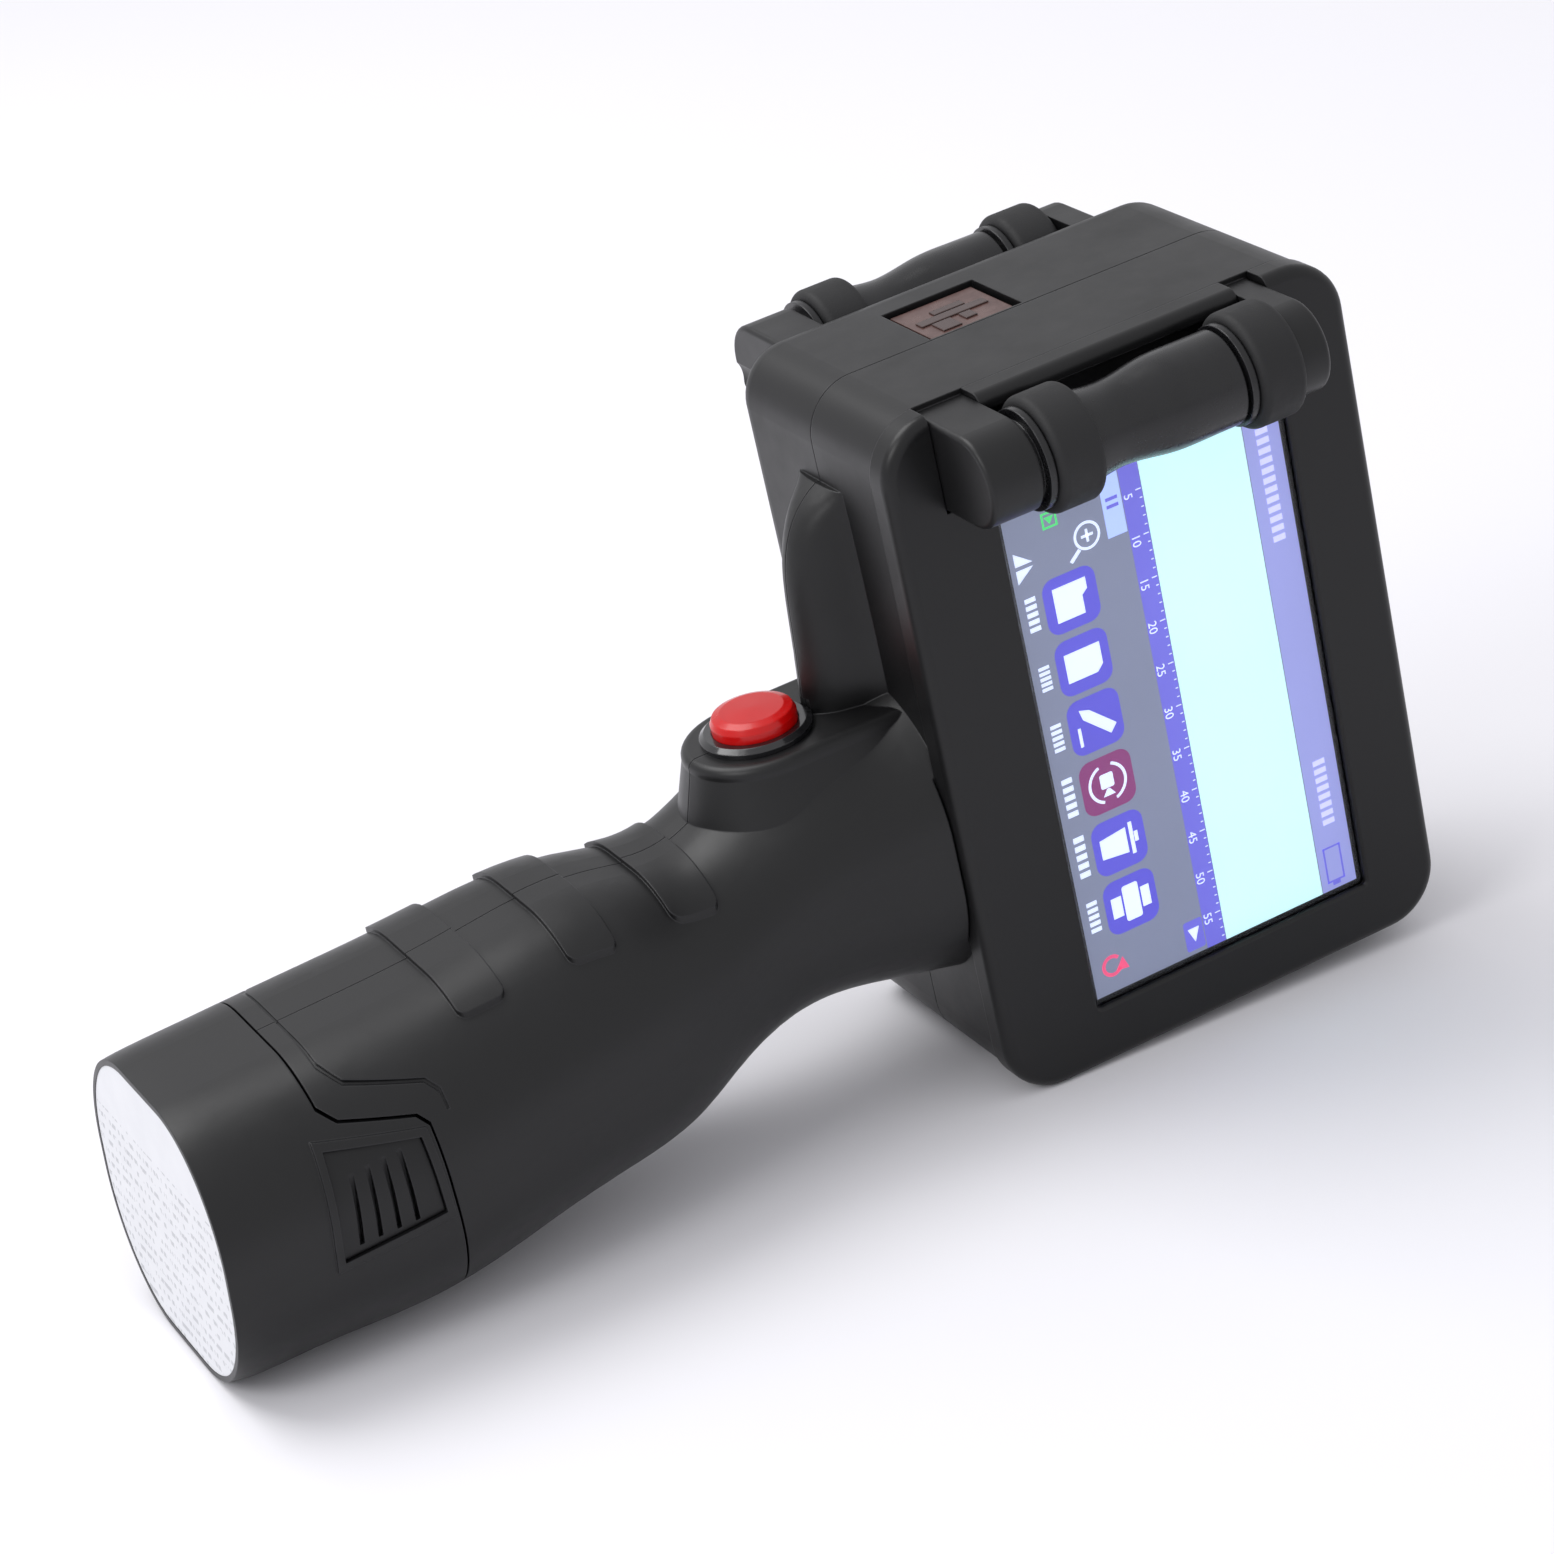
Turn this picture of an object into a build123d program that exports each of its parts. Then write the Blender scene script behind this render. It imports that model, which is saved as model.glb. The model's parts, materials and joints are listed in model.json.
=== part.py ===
from build123d import *
import os

os.makedirs("parts", exist_ok=True)

# ---------------------------------------------------------------------------
# Hand-held ink label printer, lying on the back of its head.
# X runs along the grip, from the battery to the far end of the head.
# Y runs across it: the screen looks towards -Y. Z is up, towards the print face.
# The origin is under the middle of the object, on the surface it lies on.
# All sizes are in millimetres.
# ---------------------------------------------------------------------------

# Head
HEAD_LEFT = 26.8
HEAD_LENGTH = 88.6
HEAD_HEIGHT = 125.8
HEAD_HALF = 27.2
HEAD_CORNER = 9.0
FAR_EDGE = 5.0
WALL = 2.8
BEZEL_DEPTH = 5.5
BEZEL_PROUD = 1.2

# Screen
LIT_LEFT = 46.3
LIT_BOTTOM = 11.7
LIT_WIDTH = 53.86
LIT_HEIGHT = 95.04
LIT_FACE = -25.0
GLASS = 0.7
GLASS_GAP = 0.3
GLASS_MARGIN = 1.4
LCD_SIDE_MARGIN = 4.0
LCD_FOOT_MARGIN = 5.2
LCD_THICK = 3.1
BOARD_THICK = 1.6

# Guide rollers
ROLLER_REACH = 36.33
ROLLER_HEIGHT = 116.8
ROLLER_START = 45.8
ROLLER_SPAN = 49.8
LUG_WIDTH = 9.2
LUG_FAR_WIDTH = 5.4
LUG_RADIUS = 8.0
TYRE_RADIUS = 10.05
TYRE_WIDTH = 8.5
TYRE_BORE = 7.4
BARREL_RADIUS = 8.2
WAIST_RADIUS = 7.1
RING_RADIUS = 8.7
AXLE_RADIUS = 2.0
BUSH_RADIUS = 3.6
BUSH_LENGTH = 6.0
RUNNING = 0.04

# Grip and battery
GRIP_WALL = 2.5
GRIP_CORNER = 0.9
GRIP_STATIONS = [
    # x, half width, underside, top
    (-116.6, 28.9, 9.5, 55.9),
    (-102.6, 30.4, 8.2, 57.8),
    (-82.6, 31.0, 7.6, 58.4),
    (-63.6, 30.3, 9.4, 59.2),
    (-48.6, 28.8, 11.7, 60.8),
    (-34.6, 27.1, 13.0, 61.5),
    (-24.6, 24.8, 15.4, 60.0),
    (-15.6, 22.0, 19.6, 59.3),
    (-6.6, 20.8, 22.8, 62.6),
    (3.4, 21.3, 23.9, 67.5),
    (14.4, 22.3, 22.3, 70.0),
    (23.4, 23.9, 20.4, 72.0),
    (32.4, 25.9, 18.0, 76.0),
]
RIB_HEIGHT = 0.9
RIBS = [(-62.0, 20.0), (-41.7, 20.0), (-22.0, 17.5)]
RIB_WIDTH = 8.6
RIB_ROUND = 1.6
SPLIT_TOP = -89.7
SPLIT_LOW = -74.2
SPLIT_STEP = 50.8
SPLIT_GAP = 0.4
END_X = -113.2
END_TILT = 5.6
END_MID = 31.7
LABEL = 0.4
LABEL_RIM = 1.0

# Cells and stem of the battery
CELL_RADIUS = 9.2
CELL_LENGTH = 65.0
CELL_START = -108.1
CELL_PAIR_HALF = 9.5
CELL_LOW = 27.0
CELL_HIGH = 43.5
CELL_CLEAR = 0.1
STEM_WALL = 1.4
CONTACT_PLATE = 3.0

# Trigger button
TRIGGER_X = 6.8
PAD_TOP = 71.9
PAD_RADIUS = 13.3
COLLAR_RADIUS = 9.7
COLLAR_TUBE = 8.0
COLLAR_FLANGE = 1.6
CAP_RADIUS = 7.4
CAP_RISE = 4.8
CAP_CLEAR = 0.08
STEM_RADIUS = 3.0

# Values that follow from the sizes above
HEAD_RIGHT = HEAD_LEFT + HEAD_LENGTH
HEAD_MID_X = (HEAD_LEFT + HEAD_RIGHT) / 2
HEAD_MID_Z = HEAD_HEIGHT / 2
BODY_LEFT = HEAD_LEFT + BEZEL_PROUD
BODY_RIGHT = HEAD_RIGHT - BEZEL_PROUD
BEZEL_BACK = -HEAD_HALF + BEZEL_DEPTH
ROLLER_END = ROLLER_START + ROLLER_SPAN
LIT_MID = (LIT_LEFT + LIT_WIDTH / 2, LIT_BOTTOM + LIT_HEIGHT / 2)


def upright(y):
    """Plane facing the screen side at depth y, drawn in X and Z."""
    return Plane.XZ.offset(-y)


def slab(x0, x1, z0, z1, y0, y1):
    """A plain block between two corners."""
    middle = Pos((x0 + x1) / 2, (y0 + y1) / 2, (z0 + z1) / 2)
    return middle * Box(x1 - x0, y1 - y0, z1 - z0, mode=Mode.PRIVATE)


def grip_loft(inset):
    """The smooth outer form of grip, neck and battery, drawn in by inset."""
    with BuildPart() as form:
        for x, half, low, high in GRIP_STATIONS:
            rise = (high - low) / 2 - inset
            with BuildSketch(Plane.YZ.offset(x)):
                with Locations((0, (high + low) / 2)):
                    round_off = GRIP_CORNER * min(half - inset, rise)
                    RectangleRounded(2 * (half - inset), 2 * rise, round_off)
        loft()
    return form.part


RIDGE_STATIONS = [
    # z, how far the ridge stands out of the head, half width where it meets the head
    (60.0, 11.2, 13.0),
    (77.5, 11.6, 12.4),
    (92.0, 10.4, 11.4),
    (101.0, 8.6, 10.4),
    (106.5, 5.4, 9.4),
    (110.0, 1.0, 8.2),
]
CREST_HALF = 4.6
FLANK_HALF = 6.8
RIDGE_ROOT = 2.5


def ridge_loft(inset):
    """The narrow ridge that climbs from the button pad up the head, with hollow flanks."""
    with BuildPart() as form:
        for z, stand, half in RIDGE_STATIONS:
            tip = BODY_LEFT - stand + inset
            flank = BODY_LEFT - 0.28 * stand + inset
            root = BODY_LEFT + RIDGE_ROOT + inset
            with BuildSketch(Plane.XY.offset(z - inset)):
                with BuildLine():
                    Spline(
                        (root, inset - half),
                        (flank, inset - FLANK_HALF),
                        (tip + 0.25 * stand, inset - CREST_HALF),
                        (tip, 0),
                        (tip + 0.25 * stand, CREST_HALF - inset),
                        (flank, FLANK_HALF - inset),
                        (root, half - inset),
                    )
                    Line((root, half - inset), (root, inset - half))
                make_face()
        loft()
    return form.part


def battery_zone(gap):
    """Everything on the battery's side of the stepped joint line."""
    with BuildPart() as zone:
        with BuildSketch(upright(-60)):
            with BuildLine():
                Polyline(
                    (-140, -10),
                    (SPLIT_LOW + gap, -10),
                    (SPLIT_LOW + gap, SPLIT_STEP - 5.0 + gap),
                    (SPLIT_LOW - 1.5 + gap, SPLIT_STEP - 3.2 + gap),
                    (SPLIT_TOP + 2.2 + gap, SPLIT_STEP + gap),
                    (SPLIT_TOP + gap, SPLIT_STEP + 2.2 + gap),
                    (SPLIT_TOP + gap, 90),
                    (-140, 90),
                    close=True,
                )
            make_face()
        extrude(amount=-120)
    return zone.part


def end_plane(shift):
    """The leaning end face of the battery."""
    return Plane(origin=(END_X + shift, 0, END_MID), z_dir=(-1, 0, 0)).rotated((0, END_TILT, 0))


grip_outer = grip_loft(0)
grip_inner = grip_loft(GRIP_WALL)
ridge_outer = ridge_loft(0)
ridge_inner = ridge_loft(GRIP_WALL)

# ---------------------------------------------------------------------------
# Guide roller places: two lugs a side, with the roller between them
# ---------------------------------------------------------------------------
LUGS = [(ROLLER_START - LUG_WIDTH, ROLLER_START), (ROLLER_END, ROLLER_END + LUG_FAR_WIDTH)]
LUG_LOW = ROLLER_HEIGHT - LUG_RADIUS
LUG_HIGH = ROLLER_HEIGHT + LUG_RADIUS
LUG_ROOTS = {-1: -BEZEL_BACK - 6.0, 1: HEAD_HALF - WALL + 0.2}
AXLE_SEAT = 6.0
POCKET_HALF = 6.2
POCKET_DEEP = 1.8
POCKET_SIDE = 1.0
SENSOR_SIZE = 3.0
SENSOR_THICK = 1.5
SENSOR_REACH = 5.4


def lug_arms(side):
    """Both roller lugs of one side; side is -1 by the screen, +1 on the far face."""
    reach = side * ROLLER_REACH
    root = side * LUG_ROOTS[side]
    with BuildPart() as arms:
        for x0, x1 in LUGS:
            with BuildSketch(Plane.YZ.offset(x0)):
                with Locations((reach, ROLLER_HEIGHT)):
                    Circle(LUG_RADIUS)
                with Locations(((reach + root) / 2, ROLLER_HEIGHT)):
                    Rectangle(abs(reach - root), 2 * LUG_RADIUS)
            extrude(amount=x1 - x0)
        outer_ends = arms.faces().filter_by(Axis.X).sort_by(Axis.X)
        fillet(outer_ends[0].edges(), radius=0.9)
        fillet(outer_ends[-1].edges(), radius=0.9)
        with Locations(Location((ROLLER_START - AXLE_SEAT, reach, ROLLER_HEIGHT), (0, 90, 0))):
            Cylinder(
                AXLE_RADIUS,
                ROLLER_SPAN + AXLE_SEAT + LUG_FAR_WIDTH - 2.0,
                align=(Align.CENTER, Align.CENTER, Align.MIN),
                mode=Mode.SUBTRACT,
            )
        if side < 0:
            with Locations((ROLLER_START - SENSOR_THICK / 2, reach, ROLLER_HEIGHT + SENSOR_REACH)):
                Box(SENSOR_THICK, SENSOR_SIZE, SENSOR_SIZE, mode=Mode.SUBTRACT)
    return arms.part


def roller_pocket(side):
    """Shallow trough in the head's face that lets the tyres turn freely."""
    face = side * HEAD_HALF
    floor = side * (HEAD_HALF - POCKET_DEEP)
    return slab(
        ROLLER_START - POCKET_SIDE,
        ROLLER_END + POCKET_SIDE,
        ROLLER_HEIGHT - POCKET_HALF,
        ROLLER_HEIGHT + POCKET_HALF,
        min(face, floor) - (1 if side < 0 else 0),
        max(face, floor) + (1 if side > 0 else 0),
    )


# ---------------------------------------------------------------------------
# Openings in the two half shells
# ---------------------------------------------------------------------------
CAVITY_X0 = BODY_LEFT + WALL
CAVITY_X1 = BODY_RIGHT - WALL
CAVITY_Z0 = WALL
CAVITY_Z1 = HEAD_HEIGHT - WALL
WINDOW = (53.0, 71.0, 0.6, 17.4)
DOOR_LEFT = 39.4
DOOR_RIGHT = 105.4
DOOR_LOW = 14.0
DOOR_HIGH = 102.0
DOOR_GAP = 0.4
HINGE_GAP = 1.1
DOOR_THICK = WALL
DOOR_PIN_RADIUS = 1.25
PIN_X = DOOR_RIGHT + 1.6
PIN_Y = HEAD_HALF - 1.9
KNUCKLE_RADIUS = 2.6
SEAM = 0.1

with BuildPart() as head_form:
    with BuildSketch(upright(BEZEL_BACK)):
        with Locations((HEAD_MID_X, HEAD_MID_Z)):
            RectangleRounded(BODY_RIGHT - BODY_LEFT, HEAD_HEIGHT, HEAD_CORNER)
    extrude(amount=-(HEAD_HALF - BEZEL_BACK))
    far_rim = head_form.faces().sort_by(Axis.Y)[-1]
    fillet(far_rim.edges(), radius=FAR_EDGE)

with BuildPart() as head_cavity:
    with BuildSketch(upright(-HEAD_HALF)):
        with Locations((HEAD_MID_X, HEAD_MID_Z)):
            RectangleRounded(CAVITY_X1 - CAVITY_X0, CAVITY_Z1 - CAVITY_Z0, HEAD_CORNER - WALL)
    extrude(amount=-(2 * HEAD_HALF - WALL))
    cavity_rim = head_cavity.faces().sort_by(Axis.Y)[-1]
    fillet(cavity_rim.edges(), radius=FAR_EDGE - WALL)

with BuildPart() as button_pad:
    with BuildSketch(Plane.XY.offset(58)):
        with Locations((TRIGGER_X, 0)):
            Circle(PAD_RADIUS)
        with Locations(((TRIGGER_X + BODY_LEFT) / 2, 0)):
            Rectangle(BODY_LEFT - TRIGGER_X, 2 * PAD_RADIUS)
    extrude(amount=PAD_TOP - 58)
    pad_rim = button_pad.faces().sort_by(Axis.Z)[-1]
    fillet(pad_rim.edges(), radius=1.6)

# the neck swells up to the rim of the pad all round it
PAD_EDGE = 2.2
SKIRT_DEEP = 22.0
SKIRT_SPREAD = 17.0

with BuildPart() as pad_skirt:
    with BuildSketch(Plane.XY.offset(PAD_TOP - PAD_EDGE)):
        with Locations((TRIGGER_X, 0)):
            Circle(PAD_RADIUS)
        with Locations(((TRIGGER_X + BODY_LEFT) / 2, 0)):
            Rectangle(BODY_LEFT - TRIGGER_X, 2 * PAD_RADIUS)
    extrude(amount=-SKIRT_DEEP, taper=-SKIRT_SPREAD)
    add(slab(-200, BODY_LEFT + 2, -50, 200, -100, 100), mode=Mode.INTERSECT)

# Raised grip ribs over the top of the handle, and the rims around the two release buttons
LATCH_OUTLINE = [(-91.7, 48.5), (-76.2, 45.0), (-76.0, 31.5), (-94.2, 30.5)]
LATCH_RIM = 1.3
LATCH_RIM_RISE = 0.5
LATCH_FLOOR = 22.4
LATCH_TRAVEL = 2.0
LATCH_BACK = 25.2
LATCH_CLEAR = 0.15
LATCH_INSET = 0.3
LATCH_GROOVES = 4
LATCH_GROOVE = 0.8
LATCH_GROOVE_DEEP = 1.3

swollen_grip = grip_loft(-RIB_HEIGHT)
shell_cut = battery_zone(SPLIT_GAP)
near_lugs = lug_arms(-1)
far_lugs = lug_arms(1)

with BuildPart() as rib_zone:
    for x0, half in RIBS:
        with BuildSketch(Plane.XY.offset(40)):
            with Locations((x0 + RIB_WIDTH / 2, 0)):
                RectangleRounded(RIB_WIDTH, 2 * half, RIB_ROUND)
    extrude(amount=40)

with BuildPart() as ribs:
    add(swollen_grip)
    add(rib_zone.part, mode=Mode.INTERSECT)


def latch_prism(side, grow, near, far):
    """Prism with the outline of a release button, from depth near to depth far."""
    with BuildPart() as prism:
        with BuildSketch(upright(side * near)):
            with BuildLine():
                Polyline(*LATCH_OUTLINE, close=True)
            make_face()
            if grow:
                offset(amount=grow, kind=Kind.INTERSECTION)
        extrude(amount=-side * (far - near))
    return prism.part


# ---------------------------------------------------------------------------
# Half shells: head, neck and grip in one moulding each side
# ---------------------------------------------------------------------------
SCREWS = [
    # x, z, seat of the screw's head, reach of the far boss, reach of the near boss
    (34.4, 11.0, 22.0, 26.0, 14.0),
    (108.4, 8.6, 22.0, 26.0, 14.0),
    (34.4, 114.5, 20.0, 25.0, 14.0),
    (108.4, 111.0, 22.0, 26.0, 14.0),
    (-20.6, 31.0, 15.0, 21.6, 21.6),
    (15.4, 33.0, 15.0, 21.2, 21.2),
]
BOSS_RADIUS = 4.2
SCREW_HEAD = 2.8
SCREW_HEAD_LONG = 2.2
SCREW_SHANK = 1.5
SCREW_REACH = 12.0
COLLAR_HOLE = COLLAR_TUBE + 0.05
BEZEL_GAP = 0.3

PORT_Y = -11.0
DC_Z = 28.0
USB_Z = 52.0
SWITCH_Z = 80.0
DC_RADIUS = 5.5
USB_SIZE = (14.0, 7.0)
POWER_RADIUS = 4.6

PANEL_LINE = 3.6
PANEL_WIDTH = 0.5
PANEL_DEEP = 0.35
panel_near = battery_zone(PANEL_LINE)
panel_far = battery_zone(PANEL_LINE + PANEL_WIDTH)
panel_core = grip_loft(PANEL_DEEP)

with BuildPart() as panel_groove:
    add(panel_far)
    add(panel_near, mode=Mode.SUBTRACT)
    add(slab(-200, 0, SPLIT_STEP - 4, 200, -60, 60), mode=Mode.INTERSECT)
    add(panel_core, mode=Mode.SUBTRACT)

with BuildPart() as outer_form:
    add(head_form.part)
    add(grip_outer)

with BuildPart() as shell_form:
    add(head_form.part)
    add(grip_outer)
    add(ridge_outer)
    add(button_pad.part)
    add(pad_skirt.part)
    add(ribs.part)
    add(head_cavity.part, mode=Mode.SUBTRACT)
    add(grip_inner, mode=Mode.SUBTRACT)
    add(ridge_inner, mode=Mode.SUBTRACT)
    add(shell_cut, mode=Mode.SUBTRACT)
    add(panel_groove.part, mode=Mode.SUBTRACT)
    add(slab(HEAD_LEFT - BEZEL_GAP, 200, -50, 200, -100, BEZEL_BACK), mode=Mode.SUBTRACT)
    with Locations((TRIGGER_X, 0, 58)):
        Cylinder(COLLAR_HOLE, 20, align=(Align.CENTER, Align.CENTER, Align.MIN), mode=Mode.SUBTRACT)
    with Locations((TRIGGER_X, 0, PAD_TOP)):
        Cylinder(
            COLLAR_RADIUS + 0.2,
            COLLAR_FLANGE + 1.0,
            align=(Align.CENTER, Align.CENTER, Align.MIN),
            mode=Mode.SUBTRACT,
        )

with BuildPart() as near_bosses:
    for x, z, seat, far_reach, near_reach in SCREWS:
        with Locations(Location((x, -SEAM, z), (90, 0, 0))):
            Cylinder(BOSS_RADIUS, near_reach, align=(Align.CENTER, Align.CENTER, Align.MIN))
    add(outer_form.part, mode=Mode.INTERSECT)

with BuildPart() as far_bosses:
    for x, z, seat, far_reach, near_reach in SCREWS:
        with Locations(Location((x, SEAM, z), (-90, 0, 0))):
            Cylinder(BOSS_RADIUS, far_reach, align=(Align.CENTER, Align.CENTER, Align.MIN))
    add(outer_form.part, mode=Mode.INTERSECT)

with BuildPart() as left_shell:
    add(shell_form.part)
    split(bisect_by=Plane.XZ.offset(SEAM), keep=Keep.TOP)
    add(near_bosses.part)
    add(near_lugs)
    for x, z, seat, far_reach, near_reach in SCREWS:
        with Locations(Location((x, 1, z), (90, 0, 0))):
            Cylinder(
                SCREW_SHANK,
                SCREW_REACH + 1,
                align=(Align.CENTER, Align.CENTER, Align.MIN),
                mode=Mode.SUBTRACT,
            )
    with BuildSketch(Plane.YZ.offset(BODY_RIGHT + 1)):
        with Locations((PORT_Y, DC_Z)):
            Circle(DC_RADIUS)
        with Locations((PORT_Y, USB_Z)):
            Rectangle(USB_SIZE[1], USB_SIZE[0])
        with Locations((PORT_Y, SWITCH_Z)):
            Circle(POWER_RADIUS + 0.2)
    extrude(amount=-WALL - 2, mode=Mode.SUBTRACT)
left_shell.part.label = "left_shell"
export_step(left_shell.part, "parts/left_shell.step")

KNUCKLES = [(24.0, 33.0), (83.0, 92.0)]
KNUCKLE_GAP = 0.3
SHELL_KNUCKLE = 4.0
KNUCKLE_RELIEF = 0.4

with BuildPart() as right_shell:
    add(shell_form.part)
    split(bisect_by=Plane.XZ.offset(-SEAM), keep=Keep.BOTTOM)
    add(far_bosses.part)
    add(far_lugs)
    for low, high in KNUCKLES:
        for z0 in (low - KNUCKLE_GAP - SHELL_KNUCKLE, high + KNUCKLE_GAP):
            with Locations((PIN_X, PIN_Y, z0)):
                Cylinder(KNUCKLE_RADIUS, SHELL_KNUCKLE, align=(Align.CENTER, Align.CENTER, Align.MIN))
    for x, z, seat, far_reach, near_reach in SCREWS:
        with Locations(Location((x, -1, z), (-90, 0, 0))):
            Cylinder(
                SCREW_SHANK + 0.1,
                40,
                align=(Align.CENTER, Align.CENTER, Align.MIN),
                mode=Mode.SUBTRACT,
            )
        with Locations(Location((x, seat - SCREW_HEAD_LONG, z), (-90, 0, 0))):
            Cylinder(
                SCREW_HEAD + 0.2,
                30,
                align=(Align.CENTER, Align.CENTER, Align.MIN),
                mode=Mode.SUBTRACT,
            )
    add(roller_pocket(1), mode=Mode.SUBTRACT)
    # window over the print nozzles
    add(
        slab(WINDOW[0], WINDOW[1], CAVITY_Z1 - 1, HEAD_HEIGHT + 1, WINDOW[2], WINDOW[3]),
        mode=Mode.SUBTRACT,
    )
    # cartridge door opening, with a slot for each of the door's knuckles
    add(
        slab(DOOR_LEFT, DOOR_RIGHT, DOOR_LOW, DOOR_HIGH, CAVITY_Z0 + 15, HEAD_HALF + 2),
        mode=Mode.SUBTRACT,
    )
    for low, high in KNUCKLES:
        add(
            slab(
                DOOR_RIGHT - 1,
                PIN_X + KNUCKLE_RADIUS + 0.4,
                low - KNUCKLE_GAP,
                high + KNUCKLE_GAP,
                PIN_Y - KNUCKLE_RADIUS - 0.4,
                HEAD_HALF + 2,
            ),
            mode=Mode.SUBTRACT,
        )
        with Locations((PIN_X, PIN_Y, low - KNUCKLE_GAP - SHELL_KNUCKLE + 0.8)):
            Cylinder(
                DOOR_PIN_RADIUS,
                high - low + 2 * KNUCKLE_GAP + 2 * SHELL_KNUCKLE - 1.6,
                align=(Align.CENTER, Align.CENTER, Align.MIN),
                mode=Mode.SUBTRACT,
            )
right_shell.part.label = "right_shell"
export_step(right_shell.part, "parts/right_shell.step")

# ---------------------------------------------------------------------------
# Screen: bezel, touch glass, display, board
# ---------------------------------------------------------------------------
OPENING_MARGIN = 0.9
OPENING_CORNER = 0.8
GLASS_FRONT = LIT_FACE - GLASS_GAP - GLASS
FIT = 0.15
LCD_BACK = LIT_FACE + LCD_THICK
BOARD_FRONT = LCD_BACK + 2.4
LCD_TOP_MARGIN = 1.6
NOTCH_GAP = 0.15

with BuildPart() as screen_bezel:
    with BuildSketch(upright(BEZEL_BACK)):
        with Locations((HEAD_MID_X, HEAD_MID_Z)):
            RectangleRounded(HEAD_LENGTH, HEAD_HEIGHT, HEAD_CORNER + BEZEL_PROUD)
    extrude(amount=BEZEL_DEPTH)
    front_rim = screen_bezel.faces().sort_by(Axis.Y)[0]
    fillet(front_rim.edges(), radius=2.0)
    # sight opening over the display
    with BuildSketch(upright(-HEAD_HALF)):
        with Locations(LIT_MID):
            RectangleRounded(
                LIT_WIDTH + 2 * OPENING_MARGIN,
                LIT_HEIGHT + 2 * OPENING_MARGIN,
                OPENING_CORNER,
            )
    extrude(amount=-BEZEL_DEPTH, mode=Mode.SUBTRACT)
    sight_edges = screen_bezel.faces().sort_by(Axis.Y)[0].inner_wires()[0].edges()
    chamfer(sight_edges, length=0.5)
    # seats for the touch glass and for the display behind it
    with BuildSketch(upright(GLASS_FRONT)):
        with Locations(LIT_MID):
            Rectangle(LIT_WIDTH + 2 * (GLASS_MARGIN + FIT), LIT_HEIGHT + 2 * (GLASS_MARGIN + FIT))
    extrude(amount=-6, mode=Mode.SUBTRACT)
    add(
        slab(
            LIT_LEFT - LCD_SIDE_MARGIN - FIT,
            LIT_LEFT + LIT_WIDTH + LCD_SIDE_MARGIN + FIT,
            LIT_BOTTOM - LCD_FOOT_MARGIN - FIT,
            LIT_BOTTOM + LIT_HEIGHT + LCD_TOP_MARGIN + FIT,
            LIT_FACE - FIT,
            BEZEL_BACK + 1,
        ),
        mode=Mode.SUBTRACT,
    )
    # notches that the two roller lugs pass through, and the trough behind the tyres
    for x0, x1 in LUGS:
        add(
            slab(
                x0 - NOTCH_GAP,
                x1 + NOTCH_GAP,
                LUG_LOW - NOTCH_GAP,
                HEAD_HEIGHT + 1,
                -HEAD_HALF - 1,
                BEZEL_BACK + 1,
            ),
            mode=Mode.SUBTRACT,
        )
    add(roller_pocket(-1), mode=Mode.SUBTRACT)
screen_bezel.part.label = "screen_bezel"
export_step(screen_bezel.part, "parts/screen_bezel.step")

with BuildPart() as touch_glass:
    with BuildSketch(upright(GLASS_FRONT)):
        with Locations(LIT_MID):
            Rectangle(LIT_WIDTH + 2 * GLASS_MARGIN, LIT_HEIGHT + 2 * GLASS_MARGIN)
    extrude(amount=-GLASS)
touch_glass.part.label = "touch_glass"
export_step(touch_glass.part, "parts/touch_glass.step")

LCD_BOX = (
    LIT_LEFT - LCD_SIDE_MARGIN,
    LIT_LEFT + LIT_WIDTH + LCD_SIDE_MARGIN,
    LIT_BOTTOM - LCD_FOOT_MARGIN,
    LIT_BOTTOM + LIT_HEIGHT + LCD_TOP_MARGIN,
)

with BuildPart() as display_module:
    with BuildSketch(upright(LIT_FACE)):
        with Locations(((LCD_BOX[0] + LCD_BOX[1]) / 2, (LCD_BOX[2] + LCD_BOX[3]) / 2)):
            Rectangle(LCD_BOX[1] - LCD_BOX[0], LCD_BOX[3] - LCD_BOX[2])
    extrude(amount=-LCD_THICK)
display_module.part.label = "display_module"
export_step(display_module.part, "parts/display_module.step")

BOARD_X = (39.4, 105.4)
BOARD_Z = (16.0, 104.0)
SPACER_INSET = 5.0
SPACER_RADIUS = 2.5
BOARD_MID = ((BOARD_X[0] + BOARD_X[1]) / 2, (BOARD_Z[0] + BOARD_Z[1]) / 2)
SPACER_PITCH = (
    BOARD_X[1] - BOARD_X[0] - 2 * SPACER_INSET - 4,
    BOARD_Z[1] - BOARD_Z[0] - 2 * SPACER_INSET,
)
BOARD_BACK = BOARD_FRONT + BOARD_THICK

with BuildPart() as board_spacers:
    with BuildSketch(upright(LCD_BACK)):
        with Locations(BOARD_MID):
            with GridLocations(SPACER_PITCH[0], SPACER_PITCH[1], 2, 2):
                Circle(SPACER_RADIUS)
    extrude(amount=-(BOARD_FRONT - LCD_BACK))
board_spacers.part.label = "board_spacers"
export_step(board_spacers.part, "parts/board_spacers.step")

CHIPS = [
    # x, z, width, height, thickness
    (61.4, 60.0, 16.0, 16.0, 1.4),
    (83.4, 66.0, 12.0, 18.0, 1.2),
    (61.4, 86.0, 14.0, 8.0, 1.2),
    (85.4, 38.0, 9.0, 9.0, 3.5),
    (59.4, 32.0, 22.0, 6.0, 4.0),
]

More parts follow.
